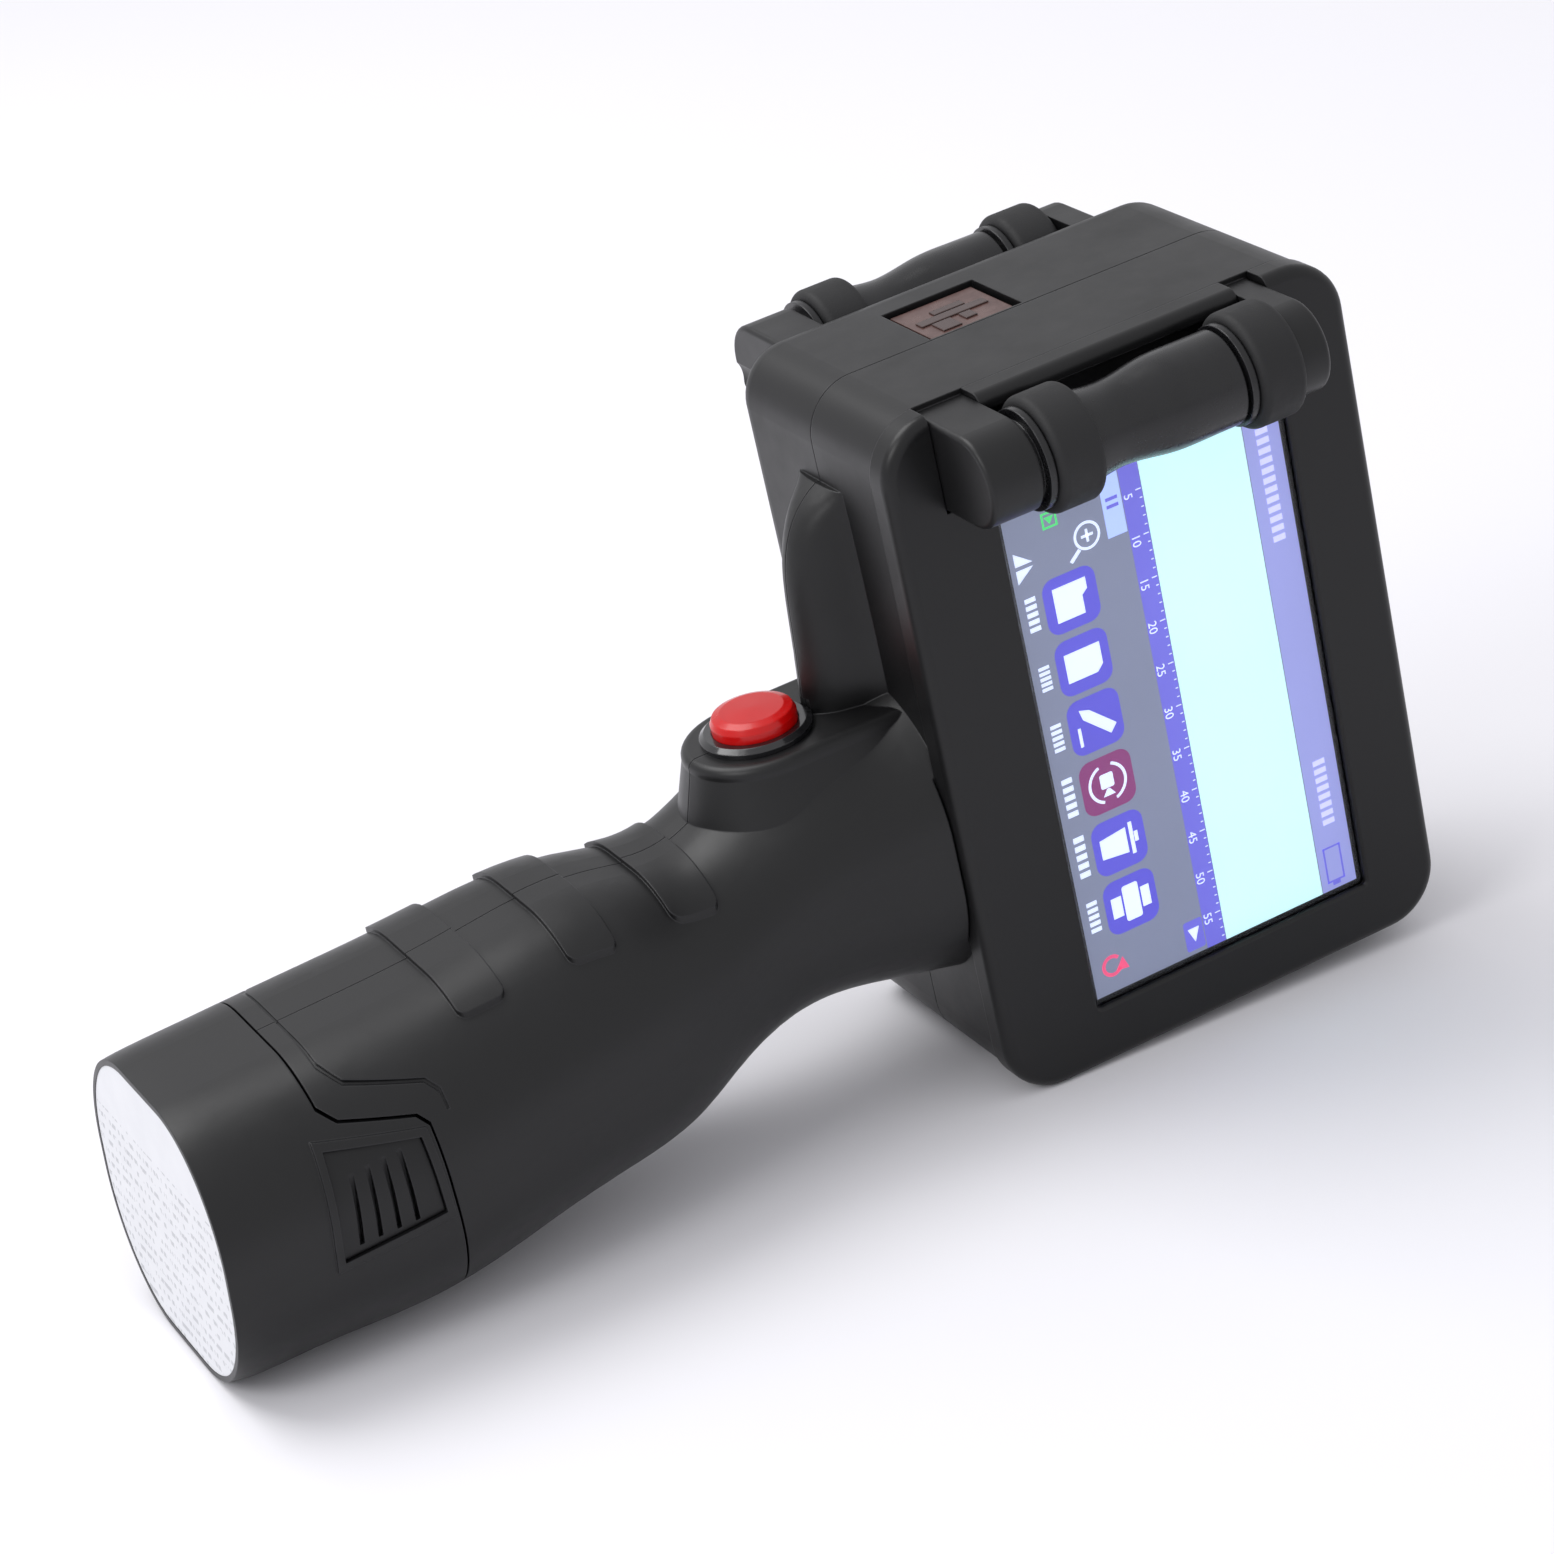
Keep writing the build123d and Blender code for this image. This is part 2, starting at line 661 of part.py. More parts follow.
with BuildPart() as main_board:
    with BuildSketch(upright(BOARD_FRONT)):
        with Locations(BOARD_MID):
            Rectangle(BOARD_X[1] - BOARD_X[0], BOARD_Z[1] - BOARD_Z[0])
    extrude(amount=-BOARD_THICK)
    for x, z, wide, tall, thick in CHIPS:
        with BuildSketch(upright(BOARD_BACK)):
            with Locations((x, z)):
                Rectangle(wide, tall)
        extrude(amount=-thick)
main_board.part.label = "main_board"
export_step(main_board.part, "parts/main_board.step")

# ---------------------------------------------------------------------------
# Ink cartridge, its print nozzles, and the cradle that holds it
# ---------------------------------------------------------------------------
INK_X = (43.4, 102.9)
INK_Y = (-2.4, 23.4)
INK_Z = (50.0, 120.5)
SNOUT_GAP = 0.7
SNOUT_TOP = HEAD_HEIGHT - 1.0
NOZZLE_THICK = 0.3
CRADLE_WALL = 1.8

with BuildPart() as ink_cartridge:
    with BuildSketch(Plane.XY.offset(INK_Z[0])):
        with Locations(((INK_X[0] + INK_X[1]) / 2, (INK_Y[0] + INK_Y[1]) / 2)):
            Rectangle(INK_X[1] - INK_X[0], INK_Y[1] - INK_Y[0])
    extrude(amount=INK_Z[1] - INK_Z[0])
    fillet(ink_cartridge.edges(), radius=1.2)
    add(
        slab(
            WINDOW[0] + SNOUT_GAP,
            WINDOW[1] - SNOUT_GAP,
            INK_Z[1] - 4,
            SNOUT_TOP,
            WINDOW[2] + SNOUT_GAP,
            WINDOW[3] - SNOUT_GAP,
        )
    )
ink_cartridge.part.label = "ink_cartridge"
export_step(ink_cartridge.part, "parts/ink_cartridge.step")

with BuildPart() as nozzle_plate:
    with BuildSketch(Plane.XY.offset(SNOUT_TOP)):
        with Locations(((WINDOW[0] + WINDOW[1]) / 2, (WINDOW[2] + WINDOW[3]) / 2)):
            Rectangle(
                WINDOW[1] - WINDOW[0] - 2 * SNOUT_GAP - 0.8,
                WINDOW[3] - WINDOW[2] - 2 * SNOUT_GAP - 0.8,
            )
    extrude(amount=NOZZLE_THICK)
nozzle_plate.part.label = "nozzle_plate"
export_step(nozzle_plate.part, "parts/nozzle_plate.step")

with BuildPart() as cartridge_cradle:
    with BuildSketch(Plane.YZ.offset(INK_X[0] + 2)):
        with BuildLine():
            Polyline(
                (INK_Y[0], INK_Z[1] - 6),
                (INK_Y[0] - CRADLE_WALL, INK_Z[1] - 6),
                (INK_Y[0] - CRADLE_WALL, INK_Z[0] - 3),
                (INK_Y[1] - 2, INK_Z[0] - 3),
                (INK_Y[1] - 2, INK_Z[0]),
                (INK_Y[0], INK_Z[0]),
                close=True,
            )
        make_face()
    extrude(amount=INK_X[1] - INK_X[0] - 4)
cartridge_cradle.part.label = "cartridge_cradle"
export_step(cartridge_cradle.part, "parts/cartridge_cradle.step")

# ---------------------------------------------------------------------------
# Cartridge door on the far face, on two short hinge pins
# ---------------------------------------------------------------------------
DOOR_ARM = 1.4
RIM_INSET = 2.0
RIM_DEEP = 1.5

with BuildPart() as cartridge_door:
    add(
        slab(
            DOOR_LEFT + DOOR_GAP,
            DOOR_RIGHT - HINGE_GAP,
            DOOR_LOW + DOOR_GAP,
            DOOR_HIGH - DOOR_GAP,
            HEAD_HALF - DOOR_THICK,
            HEAD_HALF,
        )
    )
    outer_face = cartridge_door.faces().sort_by(Axis.Y)[-1]
    chamfer(outer_face.edges(), length=0.7)
    # shallow thumb dish
    with Locations(Location((DOOR_LEFT + 12, HEAD_HALF + 13.2, HEAD_MID_Z))):
        Sphere(15, mode=Mode.SUBTRACT)
    # the door's edge steps back where the shell's own knuckles stand
    for low, high in KNUCKLES:
        for z0 in (low - KNUCKLE_GAP - SHELL_KNUCKLE - KNUCKLE_RELIEF, high):
            with Locations((PIN_X, PIN_Y, z0)):
                Cylinder(
                    KNUCKLE_RADIUS + KNUCKLE_RELIEF,
                    SHELL_KNUCKLE + KNUCKLE_GAP + KNUCKLE_RELIEF,
                    align=(Align.CENTER, Align.CENTER, Align.MIN),
                    mode=Mode.SUBTRACT,
                )
    for low, high in KNUCKLES:
        add(slab(DOOR_RIGHT - 4, PIN_X, low, high, PIN_Y - 1.2, PIN_Y + DOOR_ARM - 0.2))
        with Locations((PIN_X, PIN_Y, low)):
            Cylinder(KNUCKLE_RADIUS, high - low, align=(Align.CENTER, Align.CENTER, Align.MIN))
            Cylinder(
                DOOR_PIN_RADIUS + RUNNING,
                high - low,
                align=(Align.CENTER, Align.CENTER, Align.MIN),
                mode=Mode.SUBTRACT,
            )
cartridge_door.part.label = "cartridge_door"
export_step(cartridge_door.part, "parts/cartridge_door.step")

with BuildPart() as door_hinge_pins:
    for low, high in KNUCKLES:
        with Locations((PIN_X, PIN_Y, low - KNUCKLE_GAP - SHELL_KNUCKLE + 0.8)):
            Cylinder(
                DOOR_PIN_RADIUS,
                high - low + 2 * KNUCKLE_GAP + 2 * SHELL_KNUCKLE - 1.6,
                align=(Align.CENTER, Align.CENTER, Align.MIN),
            )
door_hinge_pins.part.label = "door_hinge_pins"
export_step(door_hinge_pins.part, "parts/door_hinge_pins.step")

# ---------------------------------------------------------------------------
# Shell screws, driven from the far side
# ---------------------------------------------------------------------------
with BuildPart() as shell_screws:
    for x, z, seat, far_reach, near_reach in SCREWS:
        with Locations(Location((x, seat, z), (90, 0, 0))):
            Cylinder(SCREW_SHANK, seat + SCREW_REACH, align=(Align.CENTER, Align.CENTER, Align.MIN))
        with Locations(Location((x, seat, z), (90, 0, 0))):
            Cylinder(SCREW_HEAD, SCREW_HEAD_LONG, align=(Align.CENTER, Align.CENTER, Align.MIN))
            Cylinder(
                1.2,
                1.2,
                align=(Align.CENTER, Align.CENTER, Align.MIN),
                mode=Mode.SUBTRACT,
            )
shell_screws.part.label = "shell_screws"
export_step(shell_screws.part, "parts/shell_screws.step")

# ---------------------------------------------------------------------------
# Guide rollers: core with barrel and waist, two rubber tyres, bushes, fixed axle
# ---------------------------------------------------------------------------
CORE_GAP = 0.4
RING_WIDTH = 1.2
GROOVE = 0.7
GROOVE_RADIUS = 6.9
SEAT_RADIUS = TYRE_BORE
CORE_START = ROLLER_START + CORE_GAP
CORE_END = ROLLER_END - CORE_GAP
NEAR_RING = CORE_START + GROOVE
TYRE_A = NEAR_RING + RING_WIDTH + 0.3
TYRE_B = CORE_END - TYRE_WIDTH
FAR_RING = TYRE_B - 0.3 - RING_WIDTH
BARREL_END = FAR_RING - GROOVE
WAIST_START = TYRE_A + TYRE_WIDTH
TYRE_ROUND = 1.4
MAGNET_INNER = 4.4
MAGNET_OUTER = 6.4
MAGNET_THICK = 1.0


def roller_axis(side):
    """Plane whose X runs along the roller and whose Y is the radius."""
    return Plane(origin=(0, side * ROLLER_REACH, ROLLER_HEIGHT), x_dir=(1, 0, 0), z_dir=(0, -1, 0))


def revolve_about(side):
    """The roller's own axis."""
    return Axis((0, side * ROLLER_REACH, ROLLER_HEIGHT), (1, 0, 0))


def roller_core(side):
    """Moulded core: end groove, thin ring, seat, waist, barrel, groove, ring, seat."""
    with BuildPart() as core:
        with BuildSketch(roller_axis(side)):
            with BuildLine():
                Polyline(
                    (CORE_START, BUSH_RADIUS),
                    (CORE_START, MAGNET_INNER),
                    (CORE_START + MAGNET_THICK, MAGNET_INNER),
                    (CORE_START + MAGNET_THICK, MAGNET_OUTER),
                    (CORE_START, MAGNET_OUTER),
                    (CORE_START, GROOVE_RADIUS),
                    (NEAR_RING, GROOVE_RADIUS),
                    (NEAR_RING, RING_RADIUS),
                    (NEAR_RING + RING_WIDTH, RING_RADIUS),
                    (NEAR_RING + RING_WIDTH, SEAT_RADIUS),
                    (WAIST_START, SEAT_RADIUS),
                    (WAIST_START, BARREL_RADIUS - 0.4),
                )
                Spline(
                    (WAIST_START, BARREL_RADIUS - 0.4),
                    (WAIST_START + 6.0, WAIST_RADIUS),
                    (WAIST_START + 13.5, BARREL_RADIUS - 0.25),
                    (BARREL_END, BARREL_RADIUS),
                    tangents=((1, -0.12), (1, 0)),
                )
                Polyline(
                    (BARREL_END, BARREL_RADIUS),
                    (BARREL_END, GROOVE_RADIUS),
                    (FAR_RING, GROOVE_RADIUS),
                    (FAR_RING, RING_RADIUS),
                    (FAR_RING + RING_WIDTH, RING_RADIUS),
                    (FAR_RING + RING_WIDTH, SEAT_RADIUS),
                    (CORE_END, SEAT_RADIUS),
                    (CORE_END, BUSH_RADIUS),
                    (CORE_START, BUSH_RADIUS),
                )
            make_face()
        revolve(axis=revolve_about(side))
    return core.part


def roller_tyre(side, start):
    """Rubber tyre with rounded shoulders, pushed over its seat on the core."""
    with BuildPart() as tyre:
        with BuildSketch(roller_axis(side)) as outline:
            with Locations((start + TYRE_WIDTH / 2, (TYRE_RADIUS + TYRE_BORE) / 2)):
                Rectangle(TYRE_WIDTH, TYRE_RADIUS - TYRE_BORE)
            fillet(outline.vertices().group_by(Axis.Y)[-1], radius=TYRE_ROUND)
        revolve(axis=revolve_about(side))
    return tyre.part


def roller_bushes(side):
    """Two plain bushes, one in each end of the core."""
    with BuildPart() as bushes:
        for start in (CORE_START, CORE_END - BUSH_LENGTH):
            with BuildSketch(Plane.YZ.offset(start)):
                with Locations((side * ROLLER_REACH, ROLLER_HEIGHT)):
                    Circle(BUSH_RADIUS)
                    Circle(AXLE_RADIUS + RUNNING, mode=Mode.SUBTRACT)
            extrude(amount=BUSH_LENGTH)
    return bushes.part


def roller_axle(side):
    """Steel pin held in both lugs."""
    with BuildPart() as axle:
        with BuildSketch(Plane.YZ.offset(ROLLER_START - AXLE_SEAT)):
            with Locations((side * ROLLER_REACH, ROLLER_HEIGHT)):
                Circle(AXLE_RADIUS)
        extrude(amount=ROLLER_SPAN + AXLE_SEAT + LUG_FAR_WIDTH - 2.0)
        chamfer(axle.edges().filter_by(GeomType.CIRCLE), length=0.3)
    return axle.part


for side, name in ((-1, "near"), (1, "far")):
    pieces = {
        "roller_core": roller_core(side),
        "tyre_grip_end": roller_tyre(side, TYRE_A),
        "tyre_far_end": roller_tyre(side, TYRE_B),
        "roller_bushes": roller_bushes(side),
        "roller_axle": roller_axle(side),
    }
    for piece, solid in pieces.items():
        solid.label = f"{name}_{piece}"
        export_step(solid, f"parts/{name}_{piece}.step")

# magnet ring that turns with the screen-side roller, and the sensor that counts its poles
with BuildPart() as encoder_magnet:
    with BuildSketch(Plane.YZ.offset(CORE_START)):
        with Locations((-ROLLER_REACH, ROLLER_HEIGHT)):
            Circle(MAGNET_OUTER)
            Circle(MAGNET_INNER, mode=Mode.SUBTRACT)
    extrude(amount=MAGNET_THICK)
encoder_magnet.part.label = "encoder_magnet"
export_step(encoder_magnet.part, "parts/encoder_magnet.step")

with BuildPart() as encoder_sensor:
    with Locations((ROLLER_START - SENSOR_THICK / 2, -ROLLER_REACH, ROLLER_HEIGHT + SENSOR_REACH)):
        Box(SENSOR_THICK, SENSOR_SIZE, SENSOR_SIZE)
encoder_sensor.part.label = "encoder_sensor"
export_step(encoder_sensor.part, "parts/encoder_sensor.step")

# ---------------------------------------------------------------------------
# Trigger: cap, collar, nut, spring and switch, all on one upright axis
# ---------------------------------------------------------------------------
COLLAR_FLOOR = 59.5
COLLAR_FLOOR_THICK = 1.5
COLLAR_TOP = PAD_TOP + COLLAR_FLANGE
CAP_TOP = PAD_TOP + CAP_RISE
CAP_SKIRT = 66.0
CAP_HOLLOW = 5.9
CAP_ROOF = 2.6
STEM_HOLE = STEM_RADIUS + 0.3
SWITCH_SIZE = 12.0
SWITCH_HEIGHT = 8.0
SWITCH_BORE = 5.0
NUT_HEIGHT = 2.2
NUT_ACROSS = 20.0
SPRING_WIRE = 0.35
SPRING_RADIUS = 4.4
SPRING_TURNS = 5
TRIGGER_PLANE = Plane(origin=(TRIGGER_X, 0, 0), x_dir=(1, 0, 0), z_dir=(0, -1, 0))
TRIGGER_AXIS = Axis((TRIGGER_X, 0, 0), (0, 0, 1))

with BuildPart() as trigger_collar:
    with BuildSketch(TRIGGER_PLANE):
        with BuildLine():
            Polyline(
                (STEM_HOLE, COLLAR_FLOOR),
                (COLLAR_TUBE, COLLAR_FLOOR),
                (COLLAR_TUBE, PAD_TOP),
                (COLLAR_RADIUS, PAD_TOP),
                (COLLAR_RADIUS, COLLAR_TOP - 0.7),
                (COLLAR_RADIUS - 0.9, COLLAR_TOP),
                (CAP_RADIUS + CAP_CLEAR, COLLAR_TOP),
                (CAP_RADIUS + CAP_CLEAR, COLLAR_FLOOR + COLLAR_FLOOR_THICK),
                (STEM_HOLE, COLLAR_FLOOR + COLLAR_FLOOR_THICK),
                close=True,
            )
        make_face()
    revolve(axis=TRIGGER_AXIS)
trigger_collar.part.label = "trigger_collar"
export_step(trigger_collar.part, "parts/trigger_collar.step")

with BuildPart() as trigger_cap:
    with BuildSketch(TRIGGER_PLANE):
        with BuildLine():
            Polyline(
                (0, COLLAR_FLOOR - 2.0),
                (STEM_RADIUS, COLLAR_FLOOR - 2.0),
                (STEM_RADIUS, CAP_TOP - CAP_ROOF),
                (CAP_HOLLOW, CAP_TOP - CAP_ROOF),
                (CAP_HOLLOW, CAP_SKIRT),
                (CAP_RADIUS, CAP_SKIRT),
                (CAP_RADIUS, CAP_TOP - 1.7),
                (CAP_RADIUS - 0.5, CAP_TOP - 0.7),
                (CAP_RADIUS - 1.9, CAP_TOP - 0.2),
                (0, CAP_TOP),
                close=True,
            )
        make_face()
    revolve(axis=TRIGGER_AXIS)
trigger_cap.part.label = "trigger_cap"
export_step(trigger_cap.part, "parts/trigger_cap.step")

with BuildPart() as trigger_nut:
    with BuildSketch(Plane.XY.offset(COLLAR_FLOOR + 0.1)):
        with Locations((TRIGGER_X, 0)):
            RegularPolygon(radius=NUT_ACROSS / 2, side_count=6)
            Circle(COLLAR_TUBE, mode=Mode.SUBTRACT)
    extrude(amount=NUT_HEIGHT)
trigger_nut.part.label = "trigger_nut"
export_step(trigger_nut.part, "parts/trigger_nut.step")

with BuildPart() as trigger_switch:
    with BuildSketch(Plane.XY.offset(COLLAR_FLOOR - SWITCH_HEIGHT)):
        with Locations((TRIGGER_X, 0)):
            Rectangle(SWITCH_SIZE, SWITCH_SIZE)
    extrude(amount=SWITCH_HEIGHT)
    with Locations((TRIGGER_X, 0, COLLAR_FLOOR - SWITCH_BORE)):
        Cylinder(
            STEM_HOLE,
            SWITCH_BORE,
            align=(Align.CENTER, Align.CENTER, Align.MIN),
            mode=Mode.SUBTRACT,
        )
trigger_switch.part.label = "trigger_switch"
export_step(trigger_switch.part, "parts/trigger_switch.step")

SPRING_LOW = COLLAR_FLOOR + COLLAR_FLOOR_THICK + SPRING_WIRE
SPRING_HIGH = CAP_TOP - CAP_ROOF - SPRING_WIRE
SPRING_RISE = SPRING_HIGH - SPRING_LOW

with BuildPart() as trigger_spring:
    with BuildLine(Plane(origin=(TRIGGER_X, 0, SPRING_LOW))):
        coil = Helix(pitch=SPRING_RISE / SPRING_TURNS, height=SPRING_RISE, radius=SPRING_RADIUS)
    with BuildSketch(Plane(origin=coil @ 0, z_dir=coil % 0)):
        Circle(SPRING_WIRE)
    sweep(path=coil, is_frenet=True)
trigger_spring.part.label = "trigger_spring"
export_step(trigger_spring.part, "parts/trigger_spring.step")

# ---------------------------------------------------------------------------
# Sockets and power button in the far end of the head
# ---------------------------------------------------------------------------
PORT_DEEP = 12.0

with BuildPart() as dc_inlet:
    with BuildSketch(Plane.YZ.offset(BODY_RIGHT - 0.4)):
        with Locations((PORT_Y, DC_Z)):
            Circle(DC_RADIUS)
            Circle(3.2, mode=Mode.SUBTRACT)
    extrude(amount=-PORT_DEEP)
    with BuildSketch(Plane.YZ.offset(BODY_RIGHT - 0.4 - PORT_DEEP)):
        with Locations((PORT_Y, DC_Z)):
            Circle(DC_RADIUS)
    extrude(amount=-1.5)
    with BuildSketch(Plane.YZ.offset(BODY_RIGHT - 0.4 - PORT_DEEP)):
        with Locations((PORT_Y, DC_Z)):
            Circle(1.0)
    extrude(amount=PORT_DEEP - 2)
dc_inlet.part.label = "dc_inlet"
export_step(dc_inlet.part, "parts/dc_inlet.step")

with BuildPart() as usb_socket:
    with BuildSketch(Plane.YZ.offset(BODY_RIGHT - 0.4)):
        with Locations((PORT_Y, USB_Z)):
            Rectangle(USB_SIZE[1], USB_SIZE[0])
            Rectangle(USB_SIZE[1] - 1.2, USB_SIZE[0] - 1.2, mode=Mode.SUBTRACT)
    extrude(amount=-PORT_DEEP)
    with BuildSketch(Plane.YZ.offset(BODY_RIGHT - 0.4 - PORT_DEEP)):
        with Locations((PORT_Y, USB_Z)):
            Rectangle(USB_SIZE[1], USB_SIZE[0])
    extrude(amount=-1.0)
    with BuildSketch(Plane.YZ.offset(BODY_RIGHT - 0.4 - PORT_DEEP)):
        with Locations((PORT_Y - 1.2, USB_Z)):
            Rectangle(1.8, USB_SIZE[0] - 2.6)
    extrude(amount=PORT_DEEP - 1.5)
usb_socket.part.label = "usb_socket"
export_step(usb_socket.part, "parts/usb_socket.step")

POWER_PROUD = 0.9
POWER_LONG = 5.0
POWER_STEM = 2.0

with BuildPart() as power_button:
    with BuildSketch(Plane.YZ.offset(BODY_RIGHT + POWER_PROUD)):
        with Locations((PORT_Y, SWITCH_Z)):
            Circle(POWER_RADIUS)
    extrude(amount=-POWER_LONG)
    rim = power_button.faces().sort_by(Axis.X)[-1]
    fillet(rim.edges(), radius=0.5)
    with BuildSketch(Plane.YZ.offset(BODY_RIGHT + POWER_PROUD - POWER_LONG)):
        with Locations((PORT_Y, SWITCH_Z)):
            Circle(POWER_STEM)
    extrude(amount=-2.0)
power_button.part.label = "power_button"
export_step(power_button.part, "parts/power_button.step")

POWER_BACK = BODY_RIGHT + POWER_PROUD - POWER_LONG - 1.2

with BuildPart() as power_switch:
    with BuildSketch(Plane.YZ.offset(POWER_BACK)):
        with Locations((PORT_Y, SWITCH_Z)):
            Rectangle(9.0, 9.0)
            Circle(POWER_STEM + 0.3, mode=Mode.SUBTRACT)
    extrude(amount=-3.0)
    with BuildSketch(Plane.YZ.offset(POWER_BACK - 3.0)):
        with Locations((PORT_Y, SWITCH_Z)):
            Rectangle(9.0, 9.0)
    extrude(amount=-3.0)
power_switch.part.label = "power_switch"
export_step(power_switch.part, "parts/power_switch.step")

# ---------------------------------------------------------------------------
# Battery pack: case with stem, three cells, contact plate, release buttons
# ---------------------------------------------------------------------------
CELLS = [(-CELL_PAIR_HALF, CELL_LOW), (CELL_PAIR_HALF, CELL_LOW), (0.0, CELL_HIGH)]
CELL_END = CELL_START + CELL_LENGTH
STEM_END = CELL_END + 2.0
POCKET = CELL_RADIUS + CELL_CLEAR
battery_cut = battery_zone(0)
rimmed_grip = grip_loft(-LATCH_RIM_RISE)
latch_skin = grip_loft(LATCH_INSET)
label_skin = grip_loft(LABEL_RIM)

LATCH_SPRING = 0.3
PLATE_X = (STEM_END, STEM_END + CONTACT_PLATE)
BLOCK_X = (PLATE_X[1] + 1.5, PLATE_X[1] + 5.5)
PAD_SIZE = (5.0, 9.0)
PAD_THICK = 0.6
PAD_PITCH = 8.5
PAD_HEIGHT = 35.0
BLADE_GAP = 0.3

near_rim = latch_prism(-1, LATCH_RIM, LATCH_FLOOR, 40)
far_rim_prism = latch_prism(1, LATCH_RIM, LATCH_FLOOR, 40)
near_pocket = latch_prism(-1, 0, LATCH_FLOOR, 40)
far_pocket = latch_prism(1, 0, LATCH_FLOOR, 40)

with BuildPart() as latch_rims:
    add(near_rim)
    add(far_rim_prism)
    add(rimmed_grip, mode=Mode.INTERSECT)

with BuildPart() as battery_case:
    add(grip_outer)
    add(latch_rims.part)
    add(battery_cut, mode=Mode.INTERSECT)
    split(bisect_by=end_plane(0), keep=Keep.BOTTOM)
    # stem that goes up inside the handle
    with BuildSketch(Plane.YZ.offset(SPLIT_TOP - 5)):
        with BuildLine():
            Polyline(*CELLS, close=True)
        make_face()
        offset(amount=POCKET + STEM_WALL)
    extrude(amount=STEM_END - SPLIT_TOP + 5)
    # one pocket for each cell
    with BuildSketch(Plane.YZ.offset(CELL_START)):
        with Locations(*CELLS):
            Circle(POCKET)
    extrude(amount=STEM_END - CELL_START, mode=Mode.SUBTRACT)
    # pockets for the two release buttons
    add(near_pocket, mode=Mode.SUBTRACT)
    add(far_pocket, mode=Mode.SUBTRACT)
    # seat for the label
    label_seat = split(label_skin, bisect_by=end_plane(LABEL), keep=Keep.TOP, mode=Mode.PRIVATE)
    add(label_seat, mode=Mode.SUBTRACT)
battery_case.part.label = "battery_case"
export_step(battery_case.part, "parts/battery_case.step")

with BuildPart() as battery_label:
    add(label_skin)
    split(bisect_by=end_plane(LABEL), keep=Keep.TOP)
    split(bisect_by=end_plane(0.1), keep=Keep.BOTTOM)
battery_label.part.label = "battery_label"
export_step(battery_label.part, "parts/battery_label.step")

with BuildPart() as battery_cells:
    with BuildSketch(Plane.YZ.offset(CELL_START)):
        with Locations(*CELLS):
            Circle(CELL_RADIUS)
    extrude(amount=CELL_LENGTH)
battery_cells.part.label = "battery_cells"
export_step(battery_cells.part, "parts/battery_cells.step")

with BuildPart() as contact_plate:
    with BuildSketch(Plane.YZ.offset(PLATE_X[0])):
        with BuildLine():
            Polyline(*CELLS, close=True)
        make_face()
        offset(amount=POCKET + STEM_WALL)
    extrude(amount=CONTACT_PLATE)
    with BuildSketch(Plane.YZ.offset(PLATE_X[1])):
        with Locations((0, PAD_HEIGHT)):
            with GridLocations(PAD_PITCH, 1, 3, 1):
                Rectangle(*PAD_SIZE)
    extrude(amount=-PAD_THICK, mode=Mode.SUBTRACT)
contact_plate.part.label = "contact_plate"
export_step(contact_plate.part, "parts/contact_plate.step")

with BuildPart() as battery_contacts:
    with BuildSketch(Plane.YZ.offset(PLATE_X[1])):
        with Locations((0, PAD_HEIGHT)):
            with GridLocations(PAD_PITCH, 1, 3, 1):
                Rectangle(*PAD_SIZE)
    extrude(amount=-PAD_THICK)
battery_contacts.part.label = "battery_contacts"
export_step(battery_contacts.part, "parts/battery_contacts.step")

for side, name in ((-1, "near"), (1, "far")):
    blank = latch_prism(side, -LATCH_CLEAR, LATCH_BACK, 40)
    (tl, tr, br, bl) = LATCH_OUTLINE
    with BuildPart() as latch:
        add(latch_skin)
        add(blank, mode=Mode.INTERSECT)
        # slanting finger grooves, parallel to the battery-side edge
        for step in range(1, LATCH_GROOVES + 1):
            share = step / (LATCH_GROOVES + 1.6)
            top_x = tl[0] + share * (tr[0] - tl[0])
            low_x = bl[0] + share * (br[0] - bl[0])
            with BuildSketch(upright(side * (29.6 - LATCH_GROOVE_DEEP + 0.6))):
                with BuildLine():
                    Polyline(
                        (low_x, bl[1] + 1.6),
                        (low_x + LATCH_GROOVE, bl[1] + 1.6),
                        (top_x + LATCH_GROOVE, tr[1] + 0.6),
                        (top_x, tr[1] + 0.6),
                        close=True,
                    )
                make_face()
            extrude(amount=-side * 10, mode=Mode.SUBTRACT)
    latch.part.label = f"{name}_release_button"
    export_step(latch.part, f"parts/{name}_release_button.step")

    # leaf of spring steel behind the button, drawn as it lies when the button is pressed
    leaf_top = LATCH_BACK - LATCH_TRAVEL - 0.1
    mid_x = (tl[0] + tr[0] + br[0] + bl[0]) / 4
    with BuildPart() as leaf:
        with BuildSketch(Plane.XY.offset((tl[1] + bl[1]) / 2 - 4)):
            with BuildLine():
                ThreePointArc(
                    (mid_x - 6, side * LATCH_FLOOR),
                    (mid_x, side * (leaf_top - LATCH_SPRING)),
                    (mid_x + 6, side * LATCH_FLOOR),
                )
                Line((mid_x + 6, side * LATCH_FLOOR), (mid_x + 6.6, side * LATCH_FLOOR))
                ThreePointArc(
                    (mid_x + 6.6, side * LATCH_FLOOR),
                    (mid_x, side * leaf_top),
                    (mid_x - 6.6, side * LATCH_FLOOR),
                )
                Line((mid_x - 6.6, side * LATCH_FLOOR), (mid_x - 6, side * LATCH_FLOOR))
            make_face()
        extrude(amount=6)
    leaf.part.label = f"{name}_release_spring"
    export_step(leaf.part, f"parts/{name}_release_spring.step")

